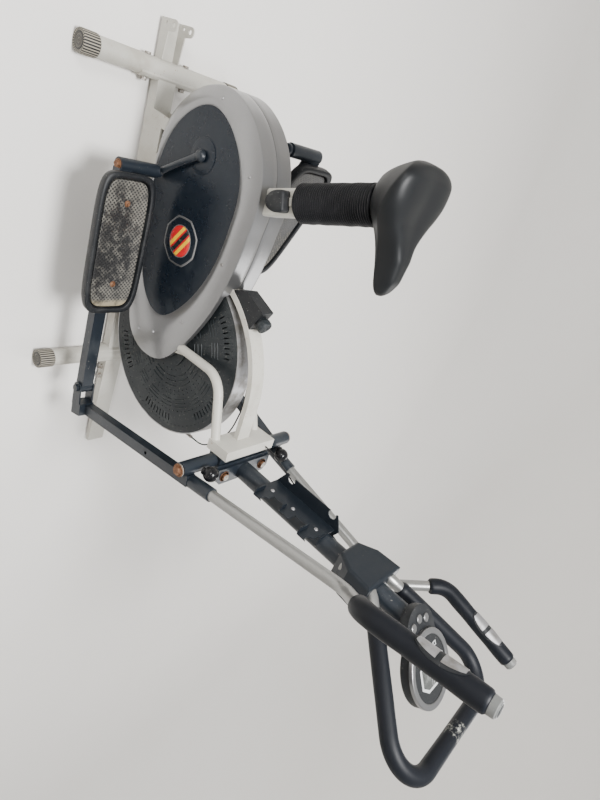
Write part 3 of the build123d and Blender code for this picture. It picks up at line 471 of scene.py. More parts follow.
# %% From a grid of points to a finished piece
def build(name, verts, quads, uvs, finish, body, sharp=35.0, extra=()):
    """Mesh from points and quads. Doubles merge first, so that seams and poles close, then normals turn out."""
    mesh = bpy.data.meshes.new(name)
    faces = [*quads.tolist(), *extra]
    mesh.from_pydata(verts.reshape(-1, 3).tolist(), [], faces)
    layer = mesh.uv_layers.new(name="own")
    flat = np.zeros((len(mesh.loops), 2), np.float32)
    flat[: uvs.size // 2] = uvs.reshape(-1, 2)
    layer.data.foreach_set("uv", flat.ravel())
    shell = bmesh.new()
    shell.from_mesh(mesh)
    bmesh.ops.remove_doubles(shell, verts=shell.verts, dist=2e-6)
    bmesh.ops.dissolve_degenerate(shell, edges=shell.edges, dist=1e-7)
    bmesh.ops.recalc_face_normals(shell, faces=shell.faces)
    shell.to_mesh(mesh)
    shell.free()
    mesh.polygons.foreach_set("use_smooth", [True] * len(mesh.polygons))
    mesh.set_sharp_from_angle(angle=radians(sharp))
    mesh.materials.append(finish)
    piece = bpy.data.objects.new(name, mesh)
    bpy.context.scene.collection.objects.link(piece)
    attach(piece, body)
    print(name, "has", len(mesh.polygons), "faces")
    return piece


def grid(rows, columns, wrap_rows=False, wrap_columns=True, start=0):
    """Quads of a grid of points, and their corners' (row, column) as UV shares that run on over the seam."""
    i, j = np.meshgrid(np.arange(rows - (not wrap_rows)), np.arange(columns - (not wrap_columns)), indexing="ij")
    i, j = i.ravel(), j.ravel()
    corners = [(i, j), (i + 1, j), (i + 1, j + 1), (i, j + 1)]
    quads = np.stack([(a % rows) * columns + b % columns for a, b in corners], 1) + start
    uvs = np.stack([np.stack([b / columns, a / max(rows - 1, 1)], 1) for a, b in corners], 1)
    return quads, uvs


def surface(name, points, finish, body, wrap_rows=False, wrap_columns=True, sharp=35.0):
    """One grid of drawing points, shaped (rows, columns, 3), as a piece. Open end rows are closed flat."""
    rows, columns = points.shape[:2]
    quads, uvs = grid(rows, columns, wrap_rows, wrap_columns)
    ends = []
    if not wrap_rows and wrap_columns:
        for row in (0, rows - 1):
            if np.ptp(points[row], 0).max() > 0.01:
                ends.append(list(range(row * columns, (row + 1) * columns)))
    return build(name, place(points), quads, uvs, finish, body, sharp, ends)


def many(name, shape, spots, finish, body, sharp=35.0):
    """One small closed grid, shaped (rows, columns, 3), copied to a list of full sets of points."""
    rows, columns = shape
    quads, uvs = grid(rows, columns)
    count = len(spots)
    all_quads = (quads[None] + (np.arange(count) * rows * columns)[:, None, None]).reshape(-1, 4)
    starts = [(k * rows + r) * columns for k in range(count) for r in (0, rows - 1)]
    caps = [list(range(start, start + columns)) for start in starts]
    return build(name, place(spots), all_quads, np.tile(uvs, (count, 1, 1)), finish, body, sharp, caps)


# %% [markdown]
# Turned parts, such as knobs and bolt heads, are a profile carried round an axis. Bars and grips are a
# ring carried along a route. Both need two directions across the axis, which cross products give.

# %% Turned parts and swept rings
def across_axis(axis):
    """Two unit vectors square to an axis and to each other."""
    axis = np.asarray(axis, float) / np.linalg.norm(axis)
    helper = np.array([0.0, 0.0, 1.0]) if abs(axis[2]) < 0.9 else np.array([1.0, 0.0, 0.0])
    first = np.cross(helper, axis)
    first /= np.linalg.norm(first)
    return axis, first, np.cross(axis, first)


def lathe(profile, origin, axis, columns=48, wobble=None):
    """Profile rows (radius, height) turned about axis from origin. wobble scales each column's radius."""
    axis, first, second = across_axis(axis)
    profile = np.asarray(profile, float)
    angle = np.linspace(0, 2 * pi, columns, endpoint=False)
    scale = np.ones(columns) if wobble is None else wobble(angle)
    radius = profile[:, 0, None] * scale
    ring = np.cos(angle)[:, None] * first + np.sin(angle)[:, None] * second
    return np.asarray(origin, float) + radius[..., None] * ring + profile[:, 1, None, None] * axis


def hexagon(angle):
    """The radius of a hexagon over its flat-to-centre distance, at each angle."""
    return 1.0 / np.cos((angle + pi / 6) % (pi / 3) - pi / 6)


def rounded(points, radii, step=4.0):
    """A bent bar's centre line: straight runs joined by arcs of the given radii, as dense points."""
    points = np.asarray(points, float)
    line = [points[0]]
    for before, corner, after, radius in zip(points, points[1:], points[2:], radii):
        a, b = before - corner, after - corner
        a, b = a / np.linalg.norm(a), b / np.linalg.norm(b)
        half = np.arccos(np.clip(a @ b, -1, 1)) / 2
        reach = radius / np.tan(half)
        centre = corner + (a + b) / np.linalg.norm(a + b) * radius / np.sin(half)
        start, end = corner + a * reach - centre, corner + b * reach - centre
        turn = pi - 2 * half
        share = np.linspace(0, 1, max(int(radius * turn / step), 3))[:, None]
        arc = (np.sin((1 - share) * turn) * start + np.sin(share * turn) * end) / np.sin(turn)
        line.extend(centre + arc)
    line.append(points[-1])
    return np.array(line)


def resample(line, step):
    """The same line with even steps along its length, and its distances from the start."""
    along = np.r_[0, np.cumsum(np.linalg.norm(np.diff(line, axis=0), axis=1))]
    even = np.linspace(0, along[-1], max(int(along[-1] / step), 2) + 1)
    return np.stack([np.interp(even, along, line[:, k]) for k in range(3)], 1), even


def frames_along(line, side=(0.0, 1.0, 0.0)):
    """At each point the direction, and two directions across it, the first as near side as it can be."""
    ahead = np.gradient(line, axis=0)
    ahead /= np.linalg.norm(ahead, axis=1)[:, None]
    second = np.cross(ahead, side)
    second /= np.linalg.norm(second, axis=1)[:, None]
    return ahead, np.cross(second, ahead), second


def swept(line, radius, columns=40, side=(0.0, 1.0, 0.0)):
    """A ring of that radius (one, or one for each point) carried along a line."""
    _, first, second = frames_along(line, side)
    angle = np.linspace(0, 2 * pi, columns, endpoint=False)
    ring = np.cos(angle)[None, :, None] * first[:, None] + np.sin(angle)[None, :, None] * second[:, None]
    return line[:, None] + np.broadcast_to(radius, len(line))[:, None, None] * ring


print("shape helpers ready")


# %% [markdown]
# The two silver covers are moulded half shells that meet in the middle. Seen from the side each is an
# outline with a dark panel let into it, and between the two outlines the wall swells outwards. Both
# outlines are measured as a radius at each angle from one centre, so the shell is a function of that
# angle and of a walk across the wall.

# %% Outlines of the cover and of its panel
SIDES = ((-1, "right"), (1, "left"))
CENTRE = np.array([318.0, 285.0])
WHEEL = np.array([654.0, 318.0])
WHEEL_R = 258.0


def arc(a, b, c, count=60):
    """Points on the circle through three points, from a by b to c."""
    a, b, c = (np.array(q, float) for q in (a, b, c))
    m = 2 * np.array([b - a, c - a])
    middle = np.linalg.solve(m, [b @ b - a @ a, c @ c - a @ a])
    angles = np.unwrap([np.arctan2(*(q - middle)[::-1]) for q in (a, b, c)], period=2 * pi)
    if (angles[1] - angles[0]) * (angles[2] - angles[0]) < 0:
        angles[2] += 2 * pi * np.sign(angles[1] - angles[0])
    sweep = np.linspace(angles[0], angles[2], count)
    return middle + np.linalg.norm(a - middle) * np.stack([np.cos(sweep), np.sin(sweep)], 1)


def by_angle(pieces, angle):
    """The radius from CENTRE of a closed outline at each angle."""
    line = np.concatenate([np.asarray(q, float) for q in pieces]) - CENTRE
    at = np.arctan2(line[:, 1], line[:, 0])
    order = np.argsort(at)
    return np.interp(angle, at[order], np.linalg.norm(line, axis=1)[order], period=2 * pi)


def run(a, b, count=60):
    return np.linspace(a, b, count)


THETA = np.linspace(-pi, pi, 360, endpoint=False)
RADIAL = np.stack([np.cos(THETA), np.sin(THETA)], 1)
cover_r = by_angle(
    [
        run((140, 131), (596, 130)), arc((596, 130), (690, 166), (720, 232)), run((720, 232), (712, 308)),
        arc((712, 308), (508, 447), (262, 508)), arc((262, 508), (52, 452), (-14, 335)),
        arc((-14, 335), (32, 198), (140, 131)),
    ],
    THETA,
)
panel_r = by_angle(
    [
        arc((175, 156), (350, 141), (500, 172)), arc((500, 172), (566, 212), (592, 268)),
        run((592, 268), (588, 288)), arc((588, 288), (455, 402), (270, 452)),
        arc((270, 452), (95, 410), (28, 306)), arc((28, 306), (80, 208), (175, 156)),
    ],
    THETA,
)
print("cover reaches", round(cover_r.max()), "mm and panel", round(panel_r.max()), "mm from their centre")


# %% Half covers
def smooth_ring(values, width):
    """A running mean round a closed ring, to soften the outline's corners."""
    kernel = np.hanning(width + 2)[1:-1]
    kernel /= kernel.sum()
    padded = np.r_[values[-width:], values, values[:width]]
    return np.convolve(padded, kernel, "same")[width:-width]


cover_r = smooth_ring(cover_r, 21)
panel_r = smooth_ring(panel_r, 31)


def crown(share):
    """Height of the wall beside the machine's middle: it falls to the edge by a power of the share, and dips
    again towards the panel, so that between them it is a rounded ring."""
    share = np.asarray(share, float)
    return 50.5 + 15.0 * (1 - np.clip(share, 0, 1) ** 2.3) - 4.6 * np.clip(1 - share / 0.38, 0, 1.3) ** 2


WALL = 3.0


def half_cover(side):
    """Rows of (share from panel to outline, width, pull inwards) walk out over the crown, round the edge,
    across to the middle seam and back inside the wall, 3 mm in."""
    edge = CENTRE + RADIAL * cover_r[:, None]
    near_wheel = np.linalg.norm(edge - WHEEL, axis=1) < WHEEL_R + 9
    inner = np.where(near_wheel, 36.0, 0.5)
    inner = np.clip(smooth_ring(inner, 5), 0.5, 36.0)
    rows = []
    walk = np.linspace(0, 1, 15)
    rows += [(-0.10, 56.5, 0.0), (-0.07, 58.6, 0.0), (-0.03, 60.0, 0.0)]
    rows += [(a, y, 0.0) for a, y in zip(walk[:-1], crown(walk[:-1]))]
    rows += [(1.0, 50.4, 0.6), (1.0, 48.6, 0.05), (1.0, 46.0, 0.0)]
    outer = np.array([CENTRE + RADIAL * (panel_r + (cover_r - panel_r) * a - pull)[:, None] for a, _, pull in rows])
    width = np.array([np.full(len(THETA), y) for _, y, _ in rows])
    band = np.array([46.0 + (inner - 46.0) * t for t in (0.33, 0.66, 0.94, 1.0)])
    inner_width = np.array([inner, np.full(len(THETA), 47.0)])
    pulls = (0.0, 0.0, 0.0, 1.0, WALL, WALL)
    across = np.array([CENTRE + RADIAL * (cover_r - pull)[:, None] for pull in pulls])
    shares = (0.8, 0.5, 0.2, -0.10)
    inside = np.array([CENTRE + RADIAL * (panel_r + (cover_r - WALL - panel_r) * a)[:, None] for a in shares])
    inside_width = np.array([np.full(len(THETA), y) for y in (54.0, 59.0, 58.0, 55.0)])
    flat = np.concatenate([outer, across, inside])
    wide = np.concatenate([width, band, inner_width, inside_width])
    return np.stack([flat[..., 0], side * wide, flat[..., 1]], -1)


for side, word in SIDES:
    cover = surface(word + "_cover", half_cover(side), lacquer, "frame", wrap_rows=True)
    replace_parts(cover, word + "_housing")


# %% Dark panels let into the covers
def side_panel(side):
    """The panel's outline drawn in towards its middle, bulging a little, with a turned-in rim."""
    shares = np.r_[np.linspace(0.02, 0.9, 9), 0.96, 0.985, 0.995, 0.995]
    width = 61.6 - 1.9 * shares ** 3
    width[-1] = 57.0
    flat = CENTRE + RADIAL[None] * (panel_r * shares[:, None] - 0.8)[..., None]
    return np.stack([flat[..., 0], np.broadcast_to(side * width[:, None], flat.shape[:2]), flat[..., 1]], -1)


panels = [surface(w + "_panel", side_panel(s), navy, "frame") for s, w in SIDES]
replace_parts(panels[0], "housing_panels")
print("covers and panels done")

# %% [markdown]
# Small fittings on the covers: a thin cap ring where the crank comes out, and screws sunk in dimples.

# %% Crank caps and cover screws
CRANK = (150.0, 309.0)
SCREWS = [(151, 474), (366, 461), (14.4, 330), (142, 150), (634.7, 271), (470, 146), (560, 372), (655, 205)]
cap_profile = [
    (10.0, 0.0), (11.0, 2.6), (30.0, 2.4), (38.0, 1.9), (41.0, 1.2), (42.5, 1.4), (43.5, 0.9), (43.8, -3.0),
    (10.0, -3.0),
]
screw_profile = [
    (0.0, 2.2), (1.3, 2.2), (1.6, 1.2), (2.4, 2.0), (3.6, 1.5), (4.2, 0.4), (5.2, 0.6), (5.6, -2.5), (0.0, -2.5),
]
for side, word in SIDES:
    ring = lathe(cap_profile, (CRANK[0], side * 61.2, CRANK[1]), (0, side, 0), 64)
    surface(word + "_crank_cap", ring, navy, "frame", wrap_rows=True)
    spots = []
    for x, z in SCREWS:
        out = np.array([x, z]) - CENTRE
        at = np.arctan2(out[1], out[0])
        low, high = np.interp(at, THETA, panel_r), np.interp(at, THETA, cover_r)
        share = np.clip((np.linalg.norm(out) - low) / (high - low), 0.25, 0.75)
        r = low + (high - low) * share
        height = float(crown(share))
        outwards = out / np.linalg.norm(out)
        x, z = CENTRE + r * outwards
        lean_x, lean_z = 0.35 * share * outwards
        spots.append(lathe(screw_profile, (x, side * (height - 0.4), z), (lean_x, side, lean_z), 12))
    many(word + "_cover_screws", (9, 12), np.array(spots), steel, "frame")

# %% [markdown]
# The round badge is generic: a black plate with eight soft corners and a silver rim, and inside it an
# round field with plain slanting bars. It is a thin cap on the panel.

# %% Badge
BADGE = np.array([366.0, 297.0])
BADGE_SUNK = 3.0
FIELD_R = 40.0


def badge_rows(rows, shape):
    """Rows of (share of the shape's radius, height above the middle plane before the badge is sunk); shape
    gives a radius at each angle."""
    angle = np.linspace(0, 2 * pi, 96, endpoint=False)
    radius = shape(angle)
    x, z = radius * np.cos(angle), radius * np.sin(angle)
    return np.array([np.stack([BADGE[0] + s * x, np.full(96, BADGE_SUNK - y), BADGE[1] + s * z], 1) for s, y in rows])


def octagon(angle):
    """An octagon with soft corners: a mix of its flat-sided radius and a circle."""
    flat = 1.0 / np.cos((angle + pi / 8) % (pi / 4) - pi / 8)
    return 61.0 * (0.6 * flat + 0.4)


def disc(angle):
    """A circle: the same radius at each angle."""
    return np.full_like(angle, FIELD_R)


def badge_bars(name):
    """Plain slanting bars: a red field crossed by two amber bars and a dark one, with scratches."""
    p = Paint(name)
    x, _, z = p.axis()
    slanting = (z - 0.297) * 0.8 + (x + 0.157) * 0.6
    blur = 0.0007

    def bar(low, high):
        return p.step(slanting, low, low + blur) * (1.0 - p.step(slanting, high, high + blur))

    colour = p.mix(bar(-0.0215, -0.0118) + bar(0.0111, 0.0208), (0.50, 0.008, 0.012), (0.72, 0.44, 0.012))
    colour = p.mix(bar(-0.0068, 0.0061), colour, (0.012, 0.012, 0.014))
    scuff = p.step(p.noise(90.0, 5.0), 0.62, 0.75)
    return p.finish(p.mix(scuff * 0.3, colour, (0.3, 0.28, 0.25)), scuff * 0.2 + 0.25, p.noise(200.0), 0.00005, 0.2)


bars = badge_bars("badge_bars")
rim_rows = [(0.9, 66.0), (0.99, 66.1), (1.02, 65.4), (1.02, 62.6), (0.9, 62.6)]
plate_rows = [(0.005, 66.3), (0.5, 66.3), (0.93, 66.2), (0.965, 65.8), (0.965, 62.8)]
field_rows = [(0.005, 66.9), (0.6, 66.9), (0.97, 66.8), (1.0, 66.2), (1.0, 64.0)]
field_rim_rows = [(0.985, 66.9), (1.0, 67.1), (1.03, 67.1), (1.045, 66.7), (1.045, 64.0), (0.985, 64.0)]
surface("badge_rim", badge_rows(rim_rows, octagon), lacquer, "frame", wrap_rows=True)
surface("badge_plate", badge_rows(plate_rows, octagon), navy, "frame")
surface("badge_oval", badge_rows(field_rows, disc), bars, "frame")
surface("badge_oval_rim", badge_rows(field_rim_rows, disc), lacquer, "frame", wrap_rows=True)
print("badge done")

# %% [markdown]
# The saddle is foam under tight vinyl: wide wings at the back, a long nose, a rim that droops at the
# sides, and a skirt that draws in to the bellows. It is a function of the way round and of a walk from
# the collar up the skirt, over the rim and in to the centre line, where both sides meet.

# %% Saddle
RIM = np.array([
    (277, 0, 856), (275, 12, 856), (266, 22, 855), (240, 28, 851), (205, 32, 846), (172, 42, 843), (145, 62, 842),
    (120, 90, 845), (95, 105, 853), (66, 109, 862), (37, 104, 872), (15, 86, 874), (3, 48, 860), (0, 0, 852),
], float)
CREST = np.array([
    (-5, 872), (4, 883), (30, 894), (75, 893), (120, 887), (160, 890), (190, 896), (237, 893), (262, 882), (280, 866),
], float)
LEAN = radians(17.0)
SEAT_AXIS = np.array([-sin(LEAN), 0, cos(LEAN)])
SEAT_SIDE = np.array([cos(LEAN), 0, sin(LEAN)])
SEAT_FOOT = np.array([336.0, 0, 40.0])
COLLAR_AT, COLLAR_R = 786.0, 44.0


def saddle_points():
    """Rows from the collar ring to the rim, over it and to the centre line; columns go round."""
    share = np.r_[0, np.cumsum(np.linalg.norm(np.diff(RIM, axis=0), axis=1))]
    even = np.linspace(0, share[-1], 49)
    half = np.stack([np.interp(even, share, RIM[:, k]) for k in range(3)], 1)
    for _ in range(6):
        half[1:-1] = (half[:-2] + 2 * half[1:-1] + half[2:]) / 4
    rim = np.concatenate([half, (half * [1, -1, 1])[-2:0:-1]])
    columns = len(rim)
    angle = np.linspace(0, 2 * pi, columns, endpoint=False)
    around_post = np.cos(angle)[:, None] * SEAT_SIDE + np.sin(angle)[:, None] * np.array([0, 1.0, 0])
    ring = SEAT_FOOT + COLLAR_AT * SEAT_AXIS + COLLAR_R * around_post
    rows = [ring, ring + [0, 0, 6.0]]
    for t in (0.15, 0.3, 0.45, 0.6, 0.75, 0.88, 0.96):
        fore = (1 + np.cos(angle)) / 2
        flat, rise = t ** (0.6 + 0.55 * fore), t ** (1.1 - 0.25 * fore)
        rows.append(ring + (rim - ring) * np.stack([flat, flat, rise], 1))
    rows.append(rim + [0, 0, 1.0])
    for k in (0.992, 0.97, 0.935, 0.88, 0.8, 0.68, 0.54, 0.38, 0.22, 0.1, 0.0):
        x = 120 + (rim[:, 0] - 120) * (0.86 + 0.14 * k ** 0.5)
        crest = np.interp(x, CREST[:, 0], CREST[:, 1])
        dip = 4.0 * np.exp(-(((x - 90) / 60) ** 2)) * np.exp(-((k * np.abs(rim[:, 1]) / 30) ** 2))
        z = rim[:, 2] + (crest - rim[:, 2]) * (1 - k ** 5.0) ** 0.5 - dip
        rows.append(np.stack([x, rim[:, 1] * k, z], 1))
    return np.array(rows)


saddle = surface("saddle_pad", saddle_points(), saddle_vinyl, "seat", sharp=60.0)
smoothing = saddle.modifiers.new("smoothing", "SUBSURF")
smoothing.levels = smoothing.render_levels = 1
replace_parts(saddle, "saddle", "saddle_base")

# %% [markdown]
# The bellows is one rubber tube with about 35 ribs. Its radius is a wave along the seat axis, and each
# rib is a little uneven.

# %% Bellows
RIBS = 35
BOOT_LOW, BOOT_HIGH = 583.0, 785.0


def bellows_points():
    """Radius = 41.4 + 3.2 * |sin(phase / 2)| ** 0.8, with slow unevenness, along the seat axis."""
    t = np.linspace(BOOT_LOW, BOOT_HIGH, RIBS * 8 + 1)
    angle = np.linspace(0, 2 * pi, 72, endpoint=False)
    phase = (t - BOOT_LOW) / (BOOT_HIGH - BOOT_LOW) * RIBS * 2 * pi
    wave = np.abs(np.sin(phase / 2))[:, None]
    way_round, phase = angle[None], phase[:, None]
    uneven = 0.35 * np.sin(3 * way_round + phase * 0.11) + 0.25 * np.sin(5 * way_round + phase * 0.17)
    ragged = np.clip((t[:, None] - 745.0) / 40.0, 0, 1) * np.sin(4 * way_round + phase * 0.31)
    radius = 41.4 + 3.2 * wave ** 0.8 + (uneven + ragged) * (0.3 + 0.7 * wave)
    shift = 0.6 * np.sin(2 * way_round + phase * 0.02)
    _, first, second = across_axis(SEAT_AXIS)
    ring = np.cos(angle)[:, None] * first + np.sin(angle)[:, None] * second
    outer = SEAT_FOOT + (t[:, None] + shift)[..., None] * SEAT_AXIS + radius[..., None] * ring
    inner = SEAT_FOOT + (t[::-1, None] + 0 * angle)[..., None] * SEAT_AXIS + 39.6 * ring
    return np.concatenate([outer, inner[::40]])


boot = bellows_points()
bellows = surface("bellows_boot", boot, bellows_rubber, "frame", wrap_rows=True, sharp=80.0)
rows = RIBS * 8 + 1
uv = bellows.data.uv_layers["own"]
values = np.zeros(len(bellows.data.loops) * 2, np.float32)
uv.data.foreach_get("uv", values)
values[1::2] *= (rows + 7) / (rows - 1) * RIBS
uv.data.foreach_set("uv", values)
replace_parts(bellows, "bellows")
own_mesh(bellows)

# %% [markdown]
# The swinging handles are silver tubes with long foam grips. A grip follows its tube's bends, swells
# slightly in the middle and is rolled over at both ends. Each has a long pointed clip with two silver
# pulse plates, and a grey cap in the tube's end.

# %% Grips on the two arms
PIVOT = (828.0, 0.0, 631.0)
ARMS = {"right": (-1, -2.73), "left": (1, 22.96)}
HANDLE = np.array([(33.5, 166.5, 28), (-20, 192, 505), (-97, 299, 598), (-119, 306, 840)], float)
HANDLE_LINE = rounded(HANDLE, [70, 60], 3.0)


def arm(points, word):
    """Points (x, outward, z) of an arm's own frame, on that arm."""
    side, tilt = ARMS[word]
    return turned(np.asarray(points, float) * [1, side, 1], PIVOT, -tilt)


def stretch(line, start, end, step=4.0):
    """The part of a line between two distances along it."""
    even, along = resample(line, 1.0)
    keep = (along >= start) & (along <= end)
    return resample(even[keep], step)[0]


def foam_sleeve(line, radius, side=(0.0, 1.0, 0.0)):
    """A sleeve with rolled ends: the radius eases from the tube's up to the foam's, and swells slightly."""
    count = len(line)
    share = np.linspace(0, 1, count)
    near_end = np.minimum(np.arange(count), np.arange(count)[::-1])
    roll = 1 - 0.22 * np.clip(1 - near_end / 1.6, 0, 1) ** 2
    body = radius * roll * (1 + 0.012 * np.sin(share * 23) + 0.012 * np.sin(share * 9))
    return swept(line, body, 36, side)


def reach_of(line, point):
    """The distance along a line at which it passes nearest to a point, and its whole length."""
    even, along = resample(line, 1.0)
    return along[np.argmin(np.linalg.norm(even - point, axis=1))], along[-1]


GRIP_START, handle_length = reach_of(HANDLE_LINE, HANDLE[1] + (HANDLE[2] - HANDLE[1]) * 0.70)
GRIP_END = handle_length - 10.0
GRIP_AXIS = (HANDLE[3] - HANDLE[2]) / np.linalg.norm(HANDLE[3] - HANDLE[2])


def pulse_patch(low, high, radius, edge, rows=22, columns=16):
    """A pointed patch bent round the grip, widest in the middle. low and high are shares of the clip's 100 mm
    length, which starts 92 mm above the handle's upper bend."""
    share = np.linspace(low, high, rows)
    half_angle = radians(62) * edge * np.sqrt(np.clip(1 - (2 * share - 1) ** 2, 0.0, 1)) + 0.01
    angle = half_angle[:, None] * np.linspace(-1, 1, columns)[None]
    centre = np.array([HANDLE[2] + GRIP_AXIS * along for along in 92 + 100 * share])[:, None]
    back = np.array([-0.97, -0.24, 0.0])
    back -= (back @ GRIP_AXIS) * GRIP_AXIS
    back /= np.linalg.norm(back)
    cross = np.cross(GRIP_AXIS, back)
    ring = np.cos(angle)[..., None] * back + np.sin(angle)[..., None] * cross
    return np.concatenate([centre + radius * ring, (centre + 18.0 * ring)[:, ::-1]], 1)


cap_grey = black_moulding("cap_grey", (0.105, 0.108, 0.105), (0.17, 0.165, 0.155), 0.5, 0.3)
end_cap = [
    (0.0, 16.0), (9.0, 15.6), (13.5, 14.6), (14.2, 13.0), (15.4, 12.6), (16.6, 11.4), (17.2, 0.0), (12.0, -4.0),
    (0.0, -4.0),
]
end_lid = [(0.0, 16.5), (8.0, 16.3), (11.0, 15.6), (11.4, 14.0), (0.0, 13.0)]
for word in ARMS:
    sleeve = foam_sleeve(stretch(HANDLE_LINE, GRIP_START, GRIP_END), 21.0)
    grip = surface(word + "_foam_grip", arm(sleeve, word), foam, word + "_arm", sharp=50.0)
    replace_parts(grip, word + "_grip")
    top = HANDLE[3] - GRIP_AXIS * 10.0
    cap = arm(lathe(end_cap, top, GRIP_AXIS, 40), word)
    surface(word + "_grip_cap", cap, cap_grey, word + "_arm")
    lid = arm(lathe(end_lid, top, GRIP_AXIS, 40), word)
    surface(word + "_grip_lid", lid, black, word + "_arm")
    surface(word + "_pulse_clip", arm(pulse_patch(0.0, 1.0, 22.6, 1.0), word), black, word + "_arm")
    surface(word + "_pulse_plate_low", arm(pulse_patch(0.06, 0.45, 23.4, 0.72), word), steel, word + "_arm")
    surface(word + "_pulse_plate_high", arm(pulse_patch(0.55, 0.94, 23.4, 0.72), word), steel, word + "_arm")

# %% [markdown]
# The fixed handle is one tube bent into a wide loop that leans forward from the post. Its foam sleeve
# goes all the way round. One torn patch on the front bar is part of the foam's finish.

# %% Foam on the fixed loop
LOOP = np.array([
    (866, -38, 1050), (868, -38, 1138), (1069, -245, 1430), (1069, 245, 1430), (868, 38, 1138), (866, 38, 1050),
], float)
LOOP_SQUARE = np.array([-292.0, 0.0, 201.0]) / np.hypot(292.0, 201.0)
loop_line = rounded(LOOP, [60, 72, 72, 60], 3.0)
start_at, loop_length = reach_of(loop_line, LOOP[1] + (LOOP[2] - LOOP[1]) * 0.10)
sleeve = foam_sleeve(stretch(loop_line, start_at, loop_length - start_at, 5.0), 19.5, LOOP_SQUARE)
loop_sleeve = surface("loop_foam_sleeve", sleeve, loop_foam_skin, "frame", sharp=50.0)
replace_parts(loop_sleeve, "loop_foam")

# %% [markdown]
# The feet end in moulded caps: fine flutes all round with dust on their crests, and rings on the end
# face. A flute is a wave in the radius. The lowest points are held at the floor.

# %% Foot caps
FLUTES = 26


def fluted(angle):
    """Radius share of the flutes, whose crests are nearly square."""
    return 1.0 - 0.035 * (0.5 + 0.5 * np.tanh(3 * np.sin(FLUTES * angle)))


def fluted_finish(name):
    p = Paint(name)
    uv = p.node("TexCoord", {}, output="UV")
    round_share, row, _ = p.axis(uv)
    wave = (round_share * (2 * pi * FLUTES)).sine()
    pale = (1.0 - p.step(wave, -0.5, 0.0)) * (1.0 - p.step(row, 0.5, 0.52)) * p.step(row, 0.06, 0.08)
    ringed = p.step((row * 95.0).sine(), 0.1, 0.7) * p.step(row, 0.56, 0.6) * 0.45
    dust = p.step(p.noise(60.0, 5.0, 0.7), 0.4, 0.7)
    colour = p.mix(pale + ringed, (0.006, 0.006, 0.007), (0.30, 0.275, 0.22))
    colour = p.mix(dust * 0.15, colour, (0.14, 0.125, 0.10))
    return p.finish(colour, dust * 0.2 + 0.5, p.noise(400.0), 0.0002, 0.3)


cap_finish = fluted_finish("fluted_cap")
plain = [(25.2, -44.0), (26.6, -43.0), (27.3, -41.0)] + [(27.3, h) for h in (-30.0, -20.0, -10.0)] + [(27.3, -1.5)]
face = [(26.4, -0.3), (24.8, 0.0), (23.0, -1.2), (20.0, -1.2), (19.0, -0.2), (16.0, -0.2), (15.0, -1.2), (12.0, -1.2),
        (11.0, -0.2), (8.0, -0.2), (7.0, -1.2), (4.0, -1.2), (3.0, -0.2), (0.0, -0.2)]
caps = []
for x in (0.0, 825.0):
    for side in (-1, 1):
        shape = lathe(plain, (x, side * 250.0, 27.0), (0, side, 0), 288, fluted)
        disc_rows = lathe(face, (x, side * 250.0, 27.0), (0, side, 0), 288)
        shape = np.concatenate([shape, disc_rows])
        shape[..., 2] = np.maximum(shape[..., 2], 0.2)
        name = f"foot_cap_{'rear' if x == 0 else 'front'}_{'right' if side < 0 else 'left'}"
        caps.append(surface(name, shape, cap_finish, "frame"))
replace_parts(caps[0], "stabiliser_caps")


# %% [markdown]
# The fan-like wheel covers carry moulded detail on the outside: short concentric ribs in stacks of three,
# rows of small bumps, and a raised band near the rim. Each rib and bump is a small closed shape.

# %% Ribs and bumps on the wheel covers
def rib(radius, start, end, side, half=1.6, rise=1.6):
    """A low rounded bar along an arc of the wheel's side, from one angle to another."""
    angle = np.radians(np.linspace(start, end, 9))
    section = np.array([(-half, 0), (-half * 0.6, rise), (half * 0.6, rise), (half, 0), (half, -1.0), (-half, -1.0)])
    r = radius + section[:, 0]
    y = side * (25.4 + section[:, 1])
    x = WHEEL[0] + np.cos(angle)[:, None] * r[None]
    z = WHEEL[1] + np.sin(angle)[:, None] * r[None]
    return np.stack([x, np.broadcast_to(y, x.shape), z], -1)


def bump_at(radius, angle, side):
    """A low six-sided dome on the wheel's side."""
    a = np.radians(angle)
    origin = (WHEEL[0] + radius * np.cos(a), side * 25.2, WHEEL[1] + radius * np.sin(a))
    return lathe([(2.3, 0.0), (1.9, 1.2), (0.8, 1.7)], origin, (0, side, 0), 6)


BUMP_ROWS = ((74, 24), (134, 48), (145, 48), (194, 72), (236, 84))
for side, word in SIDES:
    ribs = [rib(r, s * 30 + 4, s * 30 + 26, side) for s in range(12) for r in (92, 106, 120)]
    ribs += [rib(r, s * 20 + 3, s * 20 + 17, side, 1.4, 1.2) for s in range(18) for r in (160, 171, 182)]
    many(word + "_wheel_ribs", (9, 6), np.array(ribs), dusty, "flywheel")
    dots = [bump_at(r, s * 360 / n, side) for r, n in BUMP_ROWS for s in range(n)]
    many(word + "_wheel_bumps", (3, 6), np.array(dots), dusty, "flywheel")
print("wheel detail done")


# %% [markdown]
# Bolts and nuts are hexagons with a rounded top edge on a washer. They are the rustiest parts.

# %% Bolt heads
def bolt(name, at, axis, body, size, height, washer):
    """A washer and a hexagon head, both turned about the bolt's axis, as one piece."""
    flat = [(0, 0), (washer - 1, 0), (washer, 0.4), (washer, 1.6), (washer - 0.8, 2.0), (size * 0.9, 2.0)]
    head = [(size, 2.0), (size, height - 1.0), (size * 0.86, height), (0, height)]
    rows = np.concatenate([lathe(flat, at, axis, 48), lathe(head, at, axis, 48, hexagon)])
    surface(name, rows, rust, body, sharp=25.0)


